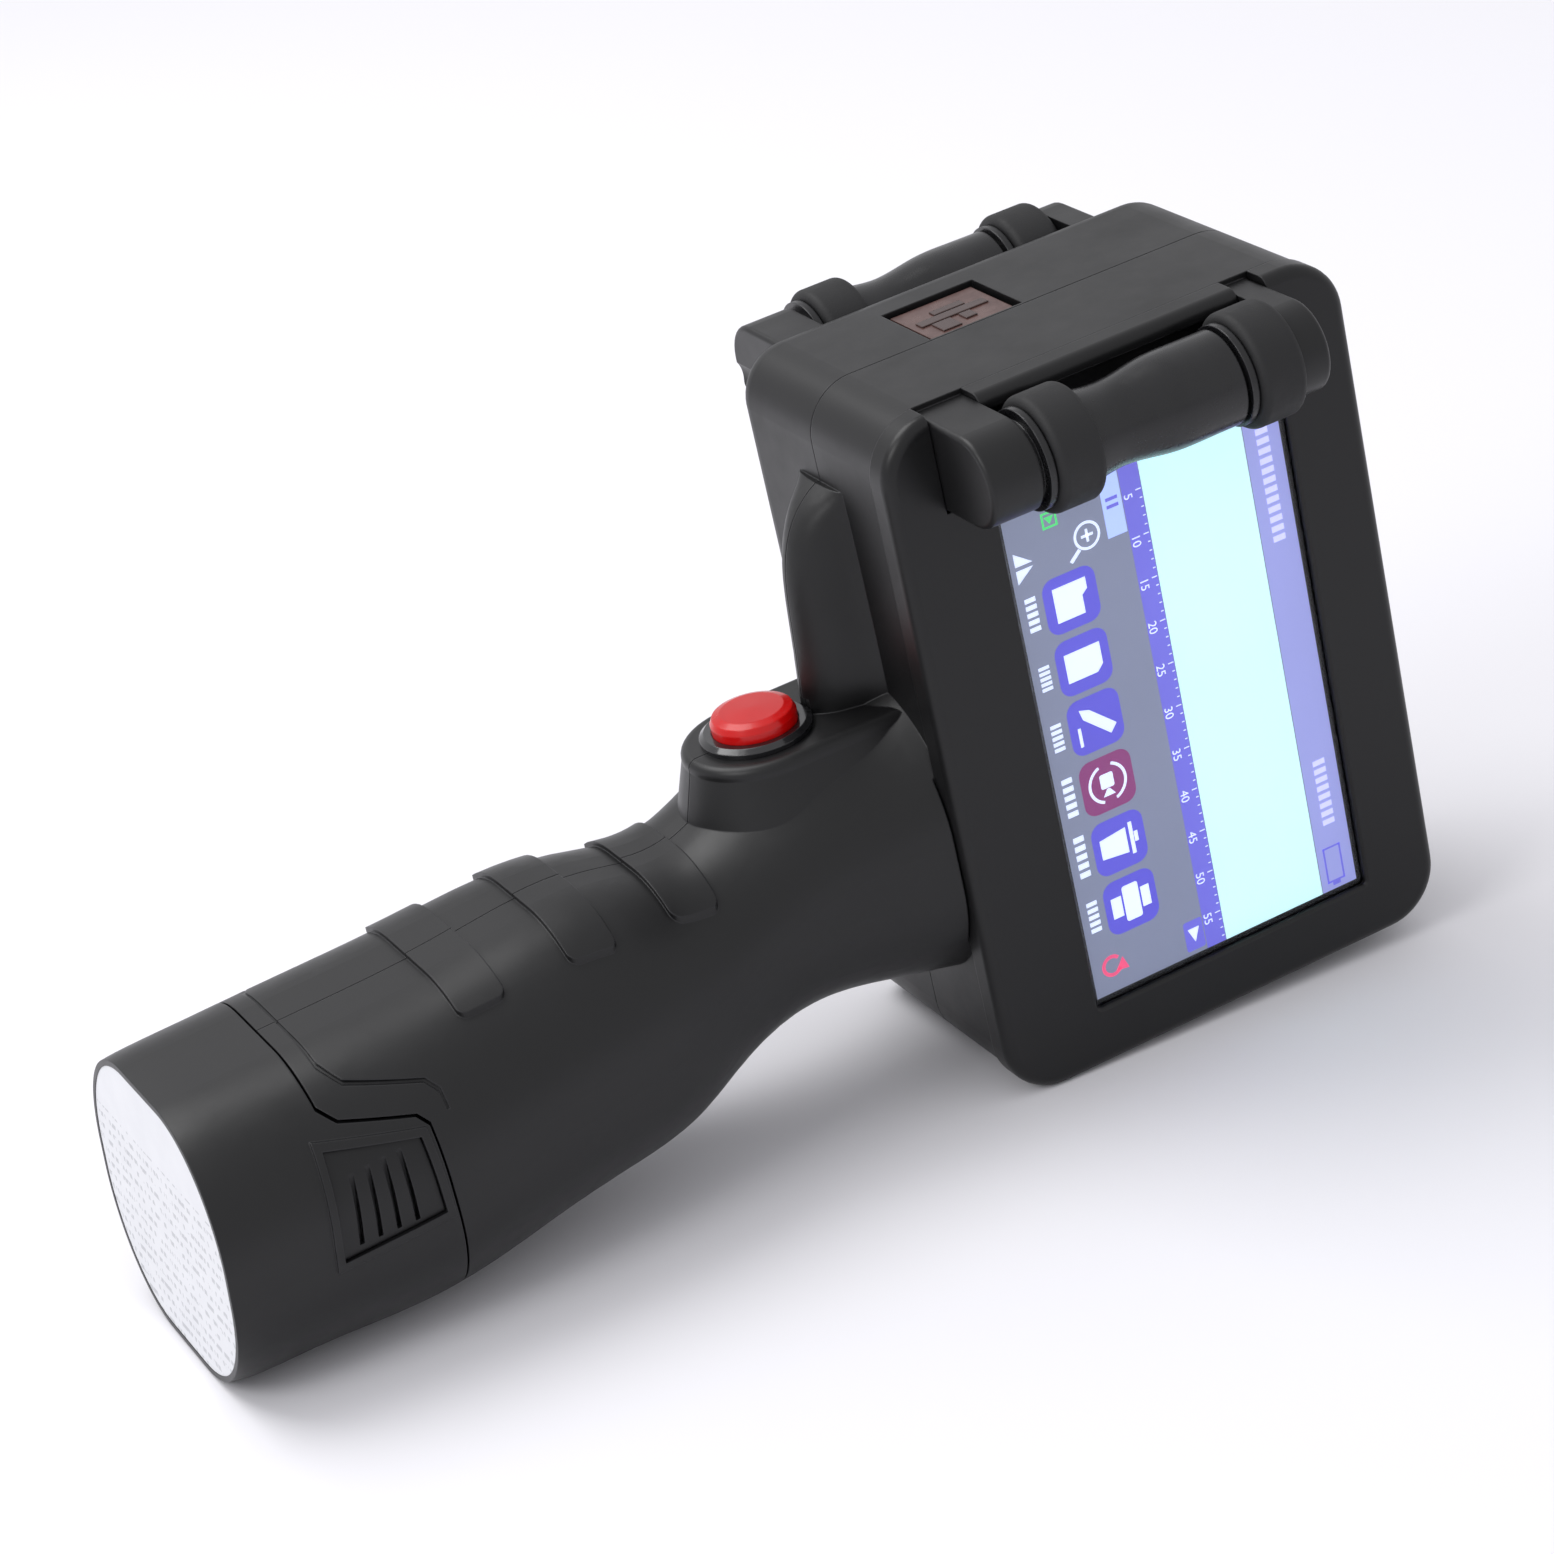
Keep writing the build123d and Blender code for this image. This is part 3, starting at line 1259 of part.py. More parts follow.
# ---------------------------------------------------------------------------
# Terminal block across the handle, its blades, and the two power leads
# ---------------------------------------------------------------------------
block_skin = grip_loft(GRIP_WALL + 0.1)
LEAD_RADIUS = 1.1
LEAD_Z = 42.0
LEAD_TURN = 4.0

with BuildPart() as terminal_block:
    add(block_skin)
    add(slab(BLOCK_X[0], BLOCK_X[1], -50, 200, -60, 60), mode=Mode.INTERSECT)
    with Locations((BLOCK_X[0], 0, PAD_HEIGHT)):
        with Locations((0, 0, 15), (0, 0, -14)):
            Box(20, 16, 5, mode=Mode.SUBTRACT)
terminal_block.part.label = "terminal_block"
export_step(terminal_block.part, "parts/terminal_block.step")

with BuildPart() as terminal_blades:
    with BuildSketch(Plane.YZ.offset(BLOCK_X[0])):
        with Locations((0, PAD_HEIGHT)):
            with GridLocations(PAD_PITCH, 1, 3, 1):
                Rectangle(3.0, 6.0)
    extrude(amount=-(BLOCK_X[0] - PLATE_X[1] - BLADE_GAP))
terminal_blades.part.label = "terminal_blades"
export_step(terminal_blades.part, "parts/terminal_blades.step")

LEADS = [
    # x where the lead turns down, depth along the handle
    (53.4, -4.0),
    (59.4, 4.0),
]
LEAD_DROP = 32.0
LEAD_SOCKET = BOARD_BACK + CHIPS[-1][4]

with BuildPart() as power_leads:
    for turn_x, depth in LEADS:
        with BuildLine():
            FilletPolyline(
                (BLOCK_X[1], depth, LEAD_Z),
                (turn_x, depth, LEAD_Z),
                (turn_x, depth, LEAD_DROP),
                (turn_x, LEAD_SOCKET, LEAD_DROP),
                radius=LEAD_TURN,
            )
        with BuildSketch(Plane(origin=(BLOCK_X[1], depth, LEAD_Z), z_dir=(1, 0, 0))):
            Circle(LEAD_RADIUS)
        sweep()
power_leads.part.label = "power_leads"
export_step(power_leads.part, "parts/power_leads.step")
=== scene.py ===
# %% [markdown]
# # A hand-held ink label printer
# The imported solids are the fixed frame: every size and place comes from them.
# This lesson adds the finishes, the lit screen, the small parts on the outside and the studio.

# %% Load the frame
import bpy
import json
import math
from mathutils import Matrix, Vector


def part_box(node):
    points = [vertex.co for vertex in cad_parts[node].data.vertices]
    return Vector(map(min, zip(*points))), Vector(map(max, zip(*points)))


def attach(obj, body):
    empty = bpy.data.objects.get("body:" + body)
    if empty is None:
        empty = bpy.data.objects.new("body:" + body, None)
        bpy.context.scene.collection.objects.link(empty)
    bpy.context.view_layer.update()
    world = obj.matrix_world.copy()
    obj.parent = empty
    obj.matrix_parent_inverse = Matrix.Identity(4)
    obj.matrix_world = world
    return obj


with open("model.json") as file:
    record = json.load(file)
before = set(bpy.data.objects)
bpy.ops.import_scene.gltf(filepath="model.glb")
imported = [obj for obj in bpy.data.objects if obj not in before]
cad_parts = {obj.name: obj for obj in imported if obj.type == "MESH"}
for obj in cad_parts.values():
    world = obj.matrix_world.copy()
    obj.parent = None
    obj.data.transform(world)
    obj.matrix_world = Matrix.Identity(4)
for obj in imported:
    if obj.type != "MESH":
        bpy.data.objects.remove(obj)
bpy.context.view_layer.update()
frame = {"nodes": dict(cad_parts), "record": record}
nodes = frame["nodes"]
MM = 0.001

# %% [markdown]
# The camera stands above the screen side, looking down along the grip. A long lens keeps the
# head and the battery in true proportion. Its three directions are written as they are, because
# the view is rolled as well as turned, and an aim-at target would lose the roll.

# %% Camera
camera = bpy.data.objects.new("camera", bpy.data.cameras.new("camera"))
bpy.context.scene.collection.objects.link(camera)
view_right = Vector((0.86320, -0.46116, -0.20547))
view_ahead = Vector((0.33558, 0.82816, -0.44892))
view_up = view_right.cross(view_ahead)
turn = Matrix((view_right, view_up, -view_ahead)).transposed()
camera.matrix_world = Matrix.Translation((-0.24145, -0.61680, 0.39692)) @ turn.to_4x4()
camera.data.lens = 103.04
camera.data.sensor_width = 36
camera.data.clip_start = 0.01
bpy.context.scene.camera = camera
print("lens", camera.data.lens)

# %% [markdown]
# The printer does not lie flat. It rests on the lower edge of the head and on the underside of
# the battery, so the table leans a few degrees against it. The lean is found by halving until
# both touch, which works for any size of battery.

# %% Find how the table lies
def lowest(names, lean):
    """Least distance of the named solids along the table's normal."""
    rise = Vector((math.sin(lean), 0, math.cos(lean)))
    return min(v.co.dot(rise) for name in names for v in nodes[name].data.vertices)


head_parts = ["left_shell", "right_shell", "screen_bezel"]
MOST_LEAN = math.radians(9)
flat, steep = 0.0, MOST_LEAN
for _ in range(18):
    lean = (flat + steep) / 2
    if lowest(["battery_case"], lean) > lowest(head_parts, lean):
        flat = lean
    else:
        steep = lean
table_normal = Vector((math.sin(lean), 0, math.cos(lean)))
table_drop = lowest(head_parts, lean)
print("table leans", round(math.degrees(lean), 2), "degrees")

# %% [markdown]
# Table and backdrop are one pale sheet, large enough that no edge shows.

# %% Table
def mesh_piece(name, points, faces):
    """A new mesh object from points in metres."""
    data = bpy.data.meshes.new(name)
    data.from_pydata(points, [], faces)
    data.update()
    piece = bpy.data.objects.new(name, data)
    bpy.context.scene.collection.objects.link(piece)
    return piece


REACH = 6.0
table = mesh_piece(
    "table", [(-REACH, -REACH, 0), (REACH, -REACH, 0), (REACH, REACH, 0), (-REACH, REACH, 0)],
    [(0, 1, 2, 3)])
table.matrix_world = Matrix.Translation(table_normal * table_drop) @ Matrix.Rotation(lean, 4, "Y")

# %% [markdown]
# Colours are picked as a designer writes them, in red, green and blue up to 255. The renderer
# adds light in linear numbers, so each one is converted first.

# %% Colour helper
def tone(red, green, blue):
    """Linear colour with alpha from three screen values."""
    def straight(value):
        share = value / 255
        return share / 12.92 if share <= 0.04045 else ((share + 0.055) / 1.055) ** 2.4
    return (straight(red), straight(green), straight(blue), 1.0)

# %% [markdown]
# Every moulded or turned part needs the same three effects: a fine grain in its surface, patches
# that are a little smoother or rougher, and a mask of its edges. They are one node group, so each
# material only gives its own numbers. The edge mask compares the true normal with one that has
# been rounded over the edge.

# %% Skin group: grain, patches, edges
def group(name, inputs, outputs):
    """An empty shader group with named sockets."""
    made = bpy.data.node_groups.new(name, "ShaderNodeTree")
    for label, kind, value in inputs:
        socket = made.interface.new_socket(name=label, in_out="INPUT", socket_type=kind)
        if value is not None:
            socket.default_value = value
    for label, kind in outputs:
        made.interface.new_socket(name=label, in_out="OUTPUT", socket_type=kind)
    start = made.nodes.new("NodeGroupInput")
    end = made.nodes.new("NodeGroupOutput")
    return made, start, end


def number(tree, kind, a, b=None, clamp=False):
    """One arithmetic node; a and b are sockets or plain numbers."""
    step = tree.nodes.new("ShaderNodeMath")
    step.operation = kind
    step.use_clamp = clamp
    for place, value in enumerate((a, b)):
        if value is None:
            continue
        if isinstance(value, (int, float)):
            step.inputs[place].default_value = value
        else:
            tree.links.new(value, step.inputs[place])
    return step.outputs[0]


FLOAT, COLOUR, VECTOR = "NodeSocketFloat", "NodeSocketColor", "NodeSocketVector"
skin, skin_in, skin_out = group(
    "moulded_skin",
    [
        ("Grain size", FLOAT, 4000.0),
        ("Grain depth", FLOAT, 0.15),
        ("Rough low", FLOAT, 0.35),
        ("Rough high", FLOAT, 0.5),
        ("Edge round", FLOAT, 0.0004),
        ("Patch size", FLOAT, 60.0),
    ],
    [("Normal", VECTOR), ("Roughness", FLOAT), ("Edge", FLOAT), ("Patch", FLOAT)],
)
place = skin.nodes.new("ShaderNodeTexCoord")
grain = skin.nodes.new("ShaderNodeTexNoise")
grain.inputs["Detail"].default_value = 3
patch = skin.nodes.new("ShaderNodeTexNoise")
patch.inputs["Detail"].default_value = 6
patch.inputs["Roughness"].default_value = 0.65
rounded_edge = skin.nodes.new("ShaderNodeBevel")
rounded_edge.samples = 6
bump = skin.nodes.new("ShaderNodeBump")
bump.inputs["Distance"].default_value = 0.0001
spread = skin.nodes.new("ShaderNodeMapRange")
spread.inputs["From Min"].default_value = 0.3
spread.inputs["From Max"].default_value = 0.7
true_normal = skin.nodes.new("ShaderNodeNewGeometry")
agree = skin.nodes.new("ShaderNodeVectorMath")
agree.operation = "DOT_PRODUCT"
join = skin.links.new
join(place.outputs["Object"], grain.inputs["Vector"])
join(place.outputs["Object"], patch.inputs["Vector"])
join(skin_in.outputs["Grain size"], grain.inputs["Scale"])
join(skin_in.outputs["Patch size"], patch.inputs["Scale"])
join(skin_in.outputs["Edge round"], rounded_edge.inputs["Radius"])
join(skin_in.outputs["Grain depth"], bump.inputs["Strength"])
join(grain.outputs["Fac"], bump.inputs["Height"])
join(rounded_edge.outputs["Normal"], bump.inputs["Normal"])
join(patch.outputs["Fac"], spread.inputs["Value"])
join(skin_in.outputs["Rough low"], spread.inputs["To Min"])
join(skin_in.outputs["Rough high"], spread.inputs["To Max"])
join(rounded_edge.outputs["Normal"], agree.inputs[0])
join(true_normal.outputs["Normal"], agree.inputs[1])
apart = number(skin, "SUBTRACT", 1.0, agree.outputs["Value"])
edge = number(skin, "MULTIPLY", apart, 5.0, clamp=True)
join(bump.outputs["Normal"], skin_out.inputs["Normal"])
join(spread.outputs["Result"], skin_out.inputs["Roughness"])
join(edge, skin_out.inputs["Edge"])
join(patch.outputs["Fac"], skin_out.inputs["Patch"])
print("skin group nodes", len(skin.nodes))

# %% [markdown]
# The second group turns those masks into colour. Patches shift the base a little, and edges move
# toward an edge tone, but only where a broken noise lets them. In most finishes that tone is paler: a painted
# highlight.

# %% Colour group: patches and painted edge highlights
patch_highlight, patch_highlight_in, patch_highlight_out = group(
    "patch_and_edge_highlight_colour",
    [
        ("Base", COLOUR, None),
        ("Patch colour", COLOUR, None),
        ("Edge tone", COLOUR, None),
        ("Patch", FLOAT, 0.5),
        ("Edge", FLOAT, 0.0),
        ("Edge tone share", FLOAT, 0.5),
    ],
    [("Color", COLOUR)],
)


def blend_colours(tree, share, first, second):
    """Mix node with its colour sockets picked by type."""
    step = tree.nodes.new("ShaderNodeMix")
    step.data_type = "RGBA"
    takes = [s for s in step.inputs if s.type == "RGBA"]
    gives = [s for s in step.outputs if s.type == "RGBA"]
    tree.links.new(share, step.inputs[0])
    for socket, value in zip(takes, (first, second)):
        if isinstance(value, tuple):
            socket.default_value = value
        else:
            tree.links.new(value, socket)
    return gives[0]


edge_break_place = patch_highlight.nodes.new("ShaderNodeTexCoord")
edge_break = patch_highlight.nodes.new("ShaderNodeTexNoise")
edge_break.inputs["Scale"].default_value = 220
edge_break.inputs["Detail"].default_value = 5
patch_highlight.links.new(edge_break_place.outputs["Object"], edge_break.inputs["Vector"])
# Painted highlight: the edge mask, broken by noise, mixes the base toward the edge tone, paler in most
# finishes.
edge_toned = number(patch_highlight, "MULTIPLY", patch_highlight_in.outputs["Edge"], edge_break.outputs["Fac"])
edge_toned = number(patch_highlight, "MULTIPLY", edge_toned, patch_highlight_in.outputs["Edge tone share"], clamp=True)
patched = blend_colours(
    patch_highlight, patch_highlight_in.outputs["Patch"], patch_highlight_in.outputs["Base"], patch_highlight_in.outputs["Patch colour"])
edge_toned_colour = blend_colours(patch_highlight, edge_toned, patched, patch_highlight_in.outputs["Edge tone"])
patch_highlight.links.new(edge_toned_colour, patch_highlight_out.inputs["Color"])
print("colour group nodes", len(patch_highlight.nodes))

# %% [markdown]
# One recipe makes each finish from the two groups. What is the same all over, such as the metal
# or the clear coat, is set on the shader itself.

# %% Finish recipe
def finish(name, base, patch_to, edge_tone_to, rough, grain_size=4000, depth=0.12, edge_mm=0.35,
           edge_tone_share=0.6, patch_size=60, **fixed):
    """A finish from the skin and colour groups; fixed holds plain shader values."""
    made = bpy.data.materials.new(name)
    made.use_nodes = True
    tree = made.node_tree
    shader = tree.nodes["Principled BSDF"]
    skin_node = tree.nodes.new("ShaderNodeGroup")
    skin_node.node_tree = skin
    for label, value in (
        ("Grain size", grain_size), ("Grain depth", depth), ("Rough low", rough[0]),
        ("Rough high", rough[1]), ("Edge round", edge_mm * MM), ("Patch size", patch_size),
    ):
        skin_node.inputs[label].default_value = value
    patch_highlight_node = tree.nodes.new("ShaderNodeGroup")
    patch_highlight_node.node_tree = patch_highlight
    for label, value in (("Base", base), ("Patch colour", patch_to), ("Edge tone", edge_tone_to)):
        patch_highlight_node.inputs[label].default_value = value
    # The share sets how strongly edges take the edge tone, a painted highlight in most finishes.
    patch_highlight_node.inputs["Edge tone share"].default_value = edge_tone_share
    tree.links.new(skin_node.outputs["Patch"], patch_highlight_node.inputs["Patch"])
    tree.links.new(skin_node.outputs["Edge"], patch_highlight_node.inputs["Edge"])
    tree.links.new(patch_highlight_node.outputs["Color"], shader.inputs["Base Color"])
    tree.links.new(skin_node.outputs["Roughness"], shader.inputs["Roughness"])
    tree.links.new(skin_node.outputs["Normal"], shader.inputs["Normal"])
    for label, value in fixed.items():
        shader.inputs[label.replace("_", " ")].default_value = value
    return made


def wearing(piece, made):
    """Puts one finish on every slot of a piece."""
    if not piece.material_slots:
        piece.data.materials.append(made)
    for slot in piece.material_slots:
        slot.material = made

# %% [markdown]
# Black is never one black. The shells are satin, the rollers are polished by the surfaces they
# run over, the tyres are matt rubber, and the collar shines.

# %% Finishes
finishes = {}


def stock(name, *values, **fixed):
    """Makes a finish and keeps it under its own name."""
    finishes[name] = finish(name, *values, **fixed)


# The third colour of each finish is its edge tone, paler than the base: a painted highlight on the edges.
stock("satin_shell", tone(13, 13, 14), tone(19, 19, 20), tone(64, 64, 68),
      (0.34, 0.46), 5200, 0.10, Specular_IOR_Level=0.38)
stock("bezel", tone(13, 13, 14), tone(19, 19, 20), tone(60, 60, 64),
      (0.32, 0.44), 5200, 0.08, Specular_IOR_Level=0.34)
stock("roller", tone(13, 13, 14), tone(24, 24, 26), tone(78, 78, 82),
      (0.20, 0.36), 2600, 0.06, patch_size=160, Specular_IOR_Level=0.45)
stock("tyre", tone(20, 20, 21), tone(38, 38, 39), tone(66, 66, 66),
      (0.55, 0.75), 3400, 0.45, 0.3, 0.8, 240, Specular_IOR_Level=0.35)
stock("red_cap", tone(200, 0, 0), tone(172, 0, 0), tone(236, 50, 44),
      (0.20, 0.30), 2200, 0.02, 0.5, 0.5, 90, Coat_Weight=0.15, Specular_IOR_Level=0.35)
stock("collar", tone(16, 16, 18), tone(22, 22, 24), tone(70, 70, 74),
      (0.12, 0.22), 2600, 0.02, 0.3, 0.4, 90, Coat_Weight=0.4)
stock("copper_window", tone(104, 74, 68), tone(50, 30, 28), tone(128, 98, 90),
      (0.22, 0.40), 1400, 0.05, 0.2, 0.4, 260, Metallic=0.1)
stock("smoked_ink", tone(60, 40, 38), tone(36, 24, 24), tone(96, 72, 68),
      (0.25, 0.42), 2600, 0.08)
stock("steel", tone(168, 168, 170), tone(140, 140, 144), tone(214, 214, 216),
      (0.24, 0.40), 2600, 0.10, 0.15, 0.6, 260, Metallic=1.0)
stock("brass", tone(196, 160, 92), tone(176, 138, 70), tone(232, 204, 144),
      (0.22, 0.36), 2600, 0.06, 0.2, 0.5, 200, Metallic=1.0)
stock("gold", tone(222, 180, 92), tone(208, 160, 70), tone(244, 216, 150),
      (0.14, 0.26), 2600, 0.04, 0.1, 0.5, 200, Metallic=1.0)
stock("dark_moulding", tone(30, 30, 31), tone(38, 38, 40), tone(70, 70, 72),
      (0.45, 0.62), 3600, 0.2)
stock("white_nylon", tone(206, 204, 196), tone(190, 188, 180), tone(226, 224, 218),
      (0.42, 0.56), 3000, 0.1)
stock("board_green", tone(22, 84, 52), tone(16, 66, 42), tone(120, 150, 110),
      (0.22, 0.40), 900, 0.3, 0.1, 0.5, 700)
stock("cell_blue", tone(40, 104, 160), tone(30, 86, 140), tone(120, 160, 200),
      (0.22, 0.36), 1200, 0.1)
stock("magnet_grey", tone(70, 68, 66), tone(54, 52, 50), tone(110, 108, 104),
      (0.45, 0.60), 2000, 0.2, Metallic=0.6)
stock("lead_red", tone(150, 20, 20), tone(130, 14, 14), tone(180, 70, 66),
      (0.36, 0.5), 1600, 0.1)
stock("screen_unlit", tone(22, 22, 28), tone(28, 28, 34), tone(50, 50, 56),
      (0.1, 0.2), 1200, 0.02)
print("finishes", len(finishes))

# %% [markdown]
# The touch glass is clear, with a faint smear where fingers land. It stays thin, so the picture
# behind it is barely bent.

# %% Glass
clear_glass = finish("clear_glass", tone(250, 252, 255), tone(246, 249, 252), tone(255, 255, 255),
                     (0.02, 0.07), 300, 0.0, 0.1, 0.0, 70, Transmission_Weight=1.0, IOR=1.35)

# %% [markdown]
# The battery's label is white paper with small print that has faded to nearly nothing. The print
# here says nothing: rows of broken dashes, made from stripes cut up by a stretched noise.

# %% Label paper
# The paper's edge tone is darker than its base, so here the edges turn darker.
label_paper = finish("label_paper", tone(216, 217, 220), tone(208, 209, 213), tone(196, 197, 200),
                     (0.42, 0.55), 3000, 0.05, 0.1, 0.3, 120)
DASH_STRETCH = (1, 900, 260)
ROW_RATE = 2600
PRINT_TOP = 44 * MM
FADED = 0.42
paper_tree = label_paper.node_tree
paper_place = paper_tree.nodes.new("ShaderNodeTexCoord")
stretch = paper_tree.nodes.new("ShaderNodeMapping")
stretch.inputs["Scale"].default_value = DASH_STRETCH
dashes = paper_tree.nodes.new("ShaderNodeTexNoise")
dashes.inputs["Scale"].default_value = 1.0
dashes.inputs["Detail"].default_value = 1
split_place = paper_tree.nodes.new("ShaderNodeSeparateXYZ")
paper_tree.links.new(paper_place.outputs["Object"], stretch.inputs["Vector"])
paper_tree.links.new(stretch.outputs["Vector"], dashes.inputs["Vector"])
paper_tree.links.new(paper_place.outputs["Object"], split_place.inputs["Vector"])
row = number(paper_tree, "SINE", number(paper_tree, "MULTIPLY", split_place.outputs["Z"], ROW_RATE))
row = number(paper_tree, "GREATER_THAN", row, 0.35)
dash = number(paper_tree, "GREATER_THAN", dashes.outputs["Fac"], 0.52)
printed = number(paper_tree, "MULTIPLY", row, dash)
low_half = number(paper_tree, "LESS_THAN", split_place.outputs["Z"], PRINT_TOP)
printed = number(paper_tree, "MULTIPLY", printed, low_half)
printed = number(paper_tree, "MULTIPLY", printed, FADED)
paper_shader = paper_tree.nodes["Principled BSDF"]
bare = paper_shader.inputs["Base Color"].links[0].from_socket
inked = blend_colours(paper_tree, printed, bare, tone(120, 122, 128))
paper_tree.links.new(inked, paper_shader.inputs["Base Color"])

# %% [markdown]
# Each solid gets the finish of what it is made of. The record already names a slot for every
# node, so the finish is looked up from the slot.

# %% Dress the solids
slot_finish = {
    "shell_plastic": "satin_shell", "bezel_plastic": "bezel", "roller_plastic": "roller",
    "tyre_rubber": "tyre", "trigger_red": "red_cap", "collar_black": "collar",
    "nozzle_metal": "copper_window", "ink_body": "smoked_ink", "steel": "steel",
    "spring_steel": "steel", "nut_brass": "brass", "contact_gold": "gold",
    "socket_metal": "steel", "switch_body": "dark_moulding",
    "socket_plastic": "dark_moulding", "sensor_plastic": "dark_moulding",
    "power_plastic": "collar", "battery_plastic": "satin_shell", "release_plastic": "bezel",
    "spacer_nylon": "white_nylon", "bush_plastic": "white_nylon", "circuit_board": "board_green",
    "cell_wrap": "cell_blue", "magnet": "magnet_grey", "lead_sleeve": "lead_red",
    "display": "screen_unlit", "touch_glass": "touch_glass", "label_paper": "label_paper",
}
finishes["touch_glass"] = clear_glass
finishes["label_paper"] = label_paper
for part in frame["record"]["subparts"]:
    wearing(nodes[part["node"]], finishes[slot_finish[part["material_slot"]]])
wearing(table, finish("table_paper", tone(229, 228, 232), tone(228, 227, 231), tone(231, 230, 234),
                      (0.75, 0.85), 400, 0.02, 0.1, 0.0, 3))
print("dressed", len(nodes))

# %% [markdown]
# The picture on the screen is built from thin coloured shapes between the display and the glass.
# Their places are given on a sheet of 1568 by 888, wide side along the print face. Each shape is
# its own light, a little uneven like a real backlight.

# %% Screen sheet
display_low, display_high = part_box("display_module")
SIDE_FRAME, TOP_FRAME, FOOT_FRAME = 4.0 * MM, 1.6 * MM, 5.2 * MM
lit_left = display_low.x + SIDE_FRAME
lit_right = display_high.x - SIDE_FRAME
lit_top = display_high.z - TOP_FRAME
lit_foot = display_low.z + FOOT_FRAME
SHEET_WIDE, SHEET_TALL = 1568, 888
FIRST_LAYER, LAYER = 0.02 * MM, 0.045 * MM


def on_screen(across, down, layer):
    """A point of the sheet, in metres, on one of the thin layers over the display."""
    return (
        lit_right - (lit_right - lit_left) * down / SHEET_TALL,
        display_low.y - FIRST_LAYER - layer * LAYER,
        lit_top - (lit_top - lit_foot) * across / SHEET_WIDE,
    )


def lit(name, colour, strength=1.0):
    """A glowing finish whose brightness drifts a little over the screen."""
    made = bpy.data.materials.new(name)
    made.use_nodes = True
    tree = made.node_tree
    shader = tree.nodes["Principled BSDF"]
    where = tree.nodes.new("ShaderNodeTexCoord")
    drift = tree.nodes.new("ShaderNodeTexNoise")
    drift.inputs["Scale"].default_value = 22
    drift.inputs["Detail"].default_value = 2
    tree.links.new(where.outputs["Object"], drift.inputs["Vector"])
    dim = tuple(c * 0.86 for c in colour[:3]) + (1.0,)
    glow = blend_colours(tree, drift.outputs["Fac"], dim, colour)
    tree.links.new(glow, shader.inputs["Emission Color"])
    tree.links.new(glow, shader.inputs["Base Color"])
    shader.inputs["Emission Strength"].default_value = strength
    shader.inputs["Roughness"].default_value = 0.5
    return made


def box_shape(left, top, right, low, corner=0):
    """A rectangle on the sheet, its corners rounded if asked."""
    if not corner:
        return [(left, top), (right, top), (right, low), (left, low)]
    ring = []
    for cx, cy, start in ((right - corner, top + corner, -90), (right - corner, low - corner, 0),
                          (left + corner, low - corner, 90), (left + corner, top + corner, 180)):
        for step in range(6):
            angle = math.radians(start + step * 18)
            ring.append((cx + corner * math.cos(angle), cy + corner * math.sin(angle)))
    return ring


def ring_shapes(cx, cy, radius, width, start=0, sweep=360, steps=28):
    """Short four-sided pieces along a ring or a part of one."""
    out = []
    for k in range(steps):
        a = math.radians(start + sweep * k / steps)
        b = math.radians(start + sweep * (k + 1) / steps)
        out.append([
            (cx + radius * math.cos(a), cy + radius * math.sin(a)),
            (cx + radius * math.cos(b), cy + radius * math.sin(b)),
            (cx + (radius - width) * math.cos(b), cy + (radius - width) * math.sin(b)),
            (cx + (radius - width) * math.cos(a), cy + (radius - width) * math.sin(a)),
        ])
    return out


def screen_piece(name, shapes, made, layer):
    """One mesh from several flat shapes on a layer, facing out of the screen."""
    points, faces = [], []
    for shape in shapes:
        faces.append(tuple(range(len(points), len(points) + len(shape))))
        points.extend(on_screen(across, down, layer) for across, down in shape)
    piece = mesh_piece(name, points, faces)
    for side in piece.data.polygons:
        if side.normal.y > 0:
            side.flip()
    wearing(piece, made)
    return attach(piece, "root")

# %% [markdown]
# From the back layer forward: the grey desk, the two violet bars, the pale writing field, the
# scroll block and its arrow button.

# %% Screen bars and fields
white = lit("screen_white", tone(224, 232, 250), 0.9)
violet = lit("screen_violet", tone(104, 100, 204), 0.85)
screen_piece("screen_desk", [box_shape(0, 0, SHEET_WIDE, SHEET_TALL)],
             lit("screen_grey", tone(126, 132, 156), 0.70), 0)
screen_piece("screen_title_bar", [box_shape(0, 0, SHEET_WIDE, 115)],
             lit("screen_bar", tone(144, 148, 206), 0.86), 1)
screen_piece("screen_field", [box_shape(0, 118, SHEET_WIDE, 450)],
             lit("screen_pale", tone(200, 240, 242), 0.88), 1)
screen_piece("screen_ruler", [box_shape(0, 452, SHEET_WIDE, 515)], violet, 1)
screen_piece("screen_scroll", [box_shape(0, 518, 240, 580)],
             lit("screen_scroll_blue", tone(170, 190, 238), 0.95), 1)
pause_bars = [box_shape(124, 530, 134, 568), box_shape(146, 530, 156, 568)]
screen_piece("screen_pause_bars", pause_bars, violet, 2)
screen_piece("screen_arrow_key", [box_shape(1460, 518, 1555, 580, 8)], violet, 1)
screen_piece("screen_arrow", [[(1485, 530), (1530, 549), (1485, 568)]], white, 2)

# %% [markdown]
# Words are left out. Rows of short bars stand where they were, so the screen has the same
# rhythm and says nothing. Numbers on a ruler are general, so those are real figures.

# %% Rows of bars, battery mark and ruler figures
def bars(left, right, middle, height, count):
    """Evenly spaced short bars in place of a word."""
    pitch = (right - left) / count
    top, low = middle - height / 2, middle + height / 2
    return [box_shape(left + k * pitch, top, left + (k + 0.62) * pitch, low) for k in range(count)]


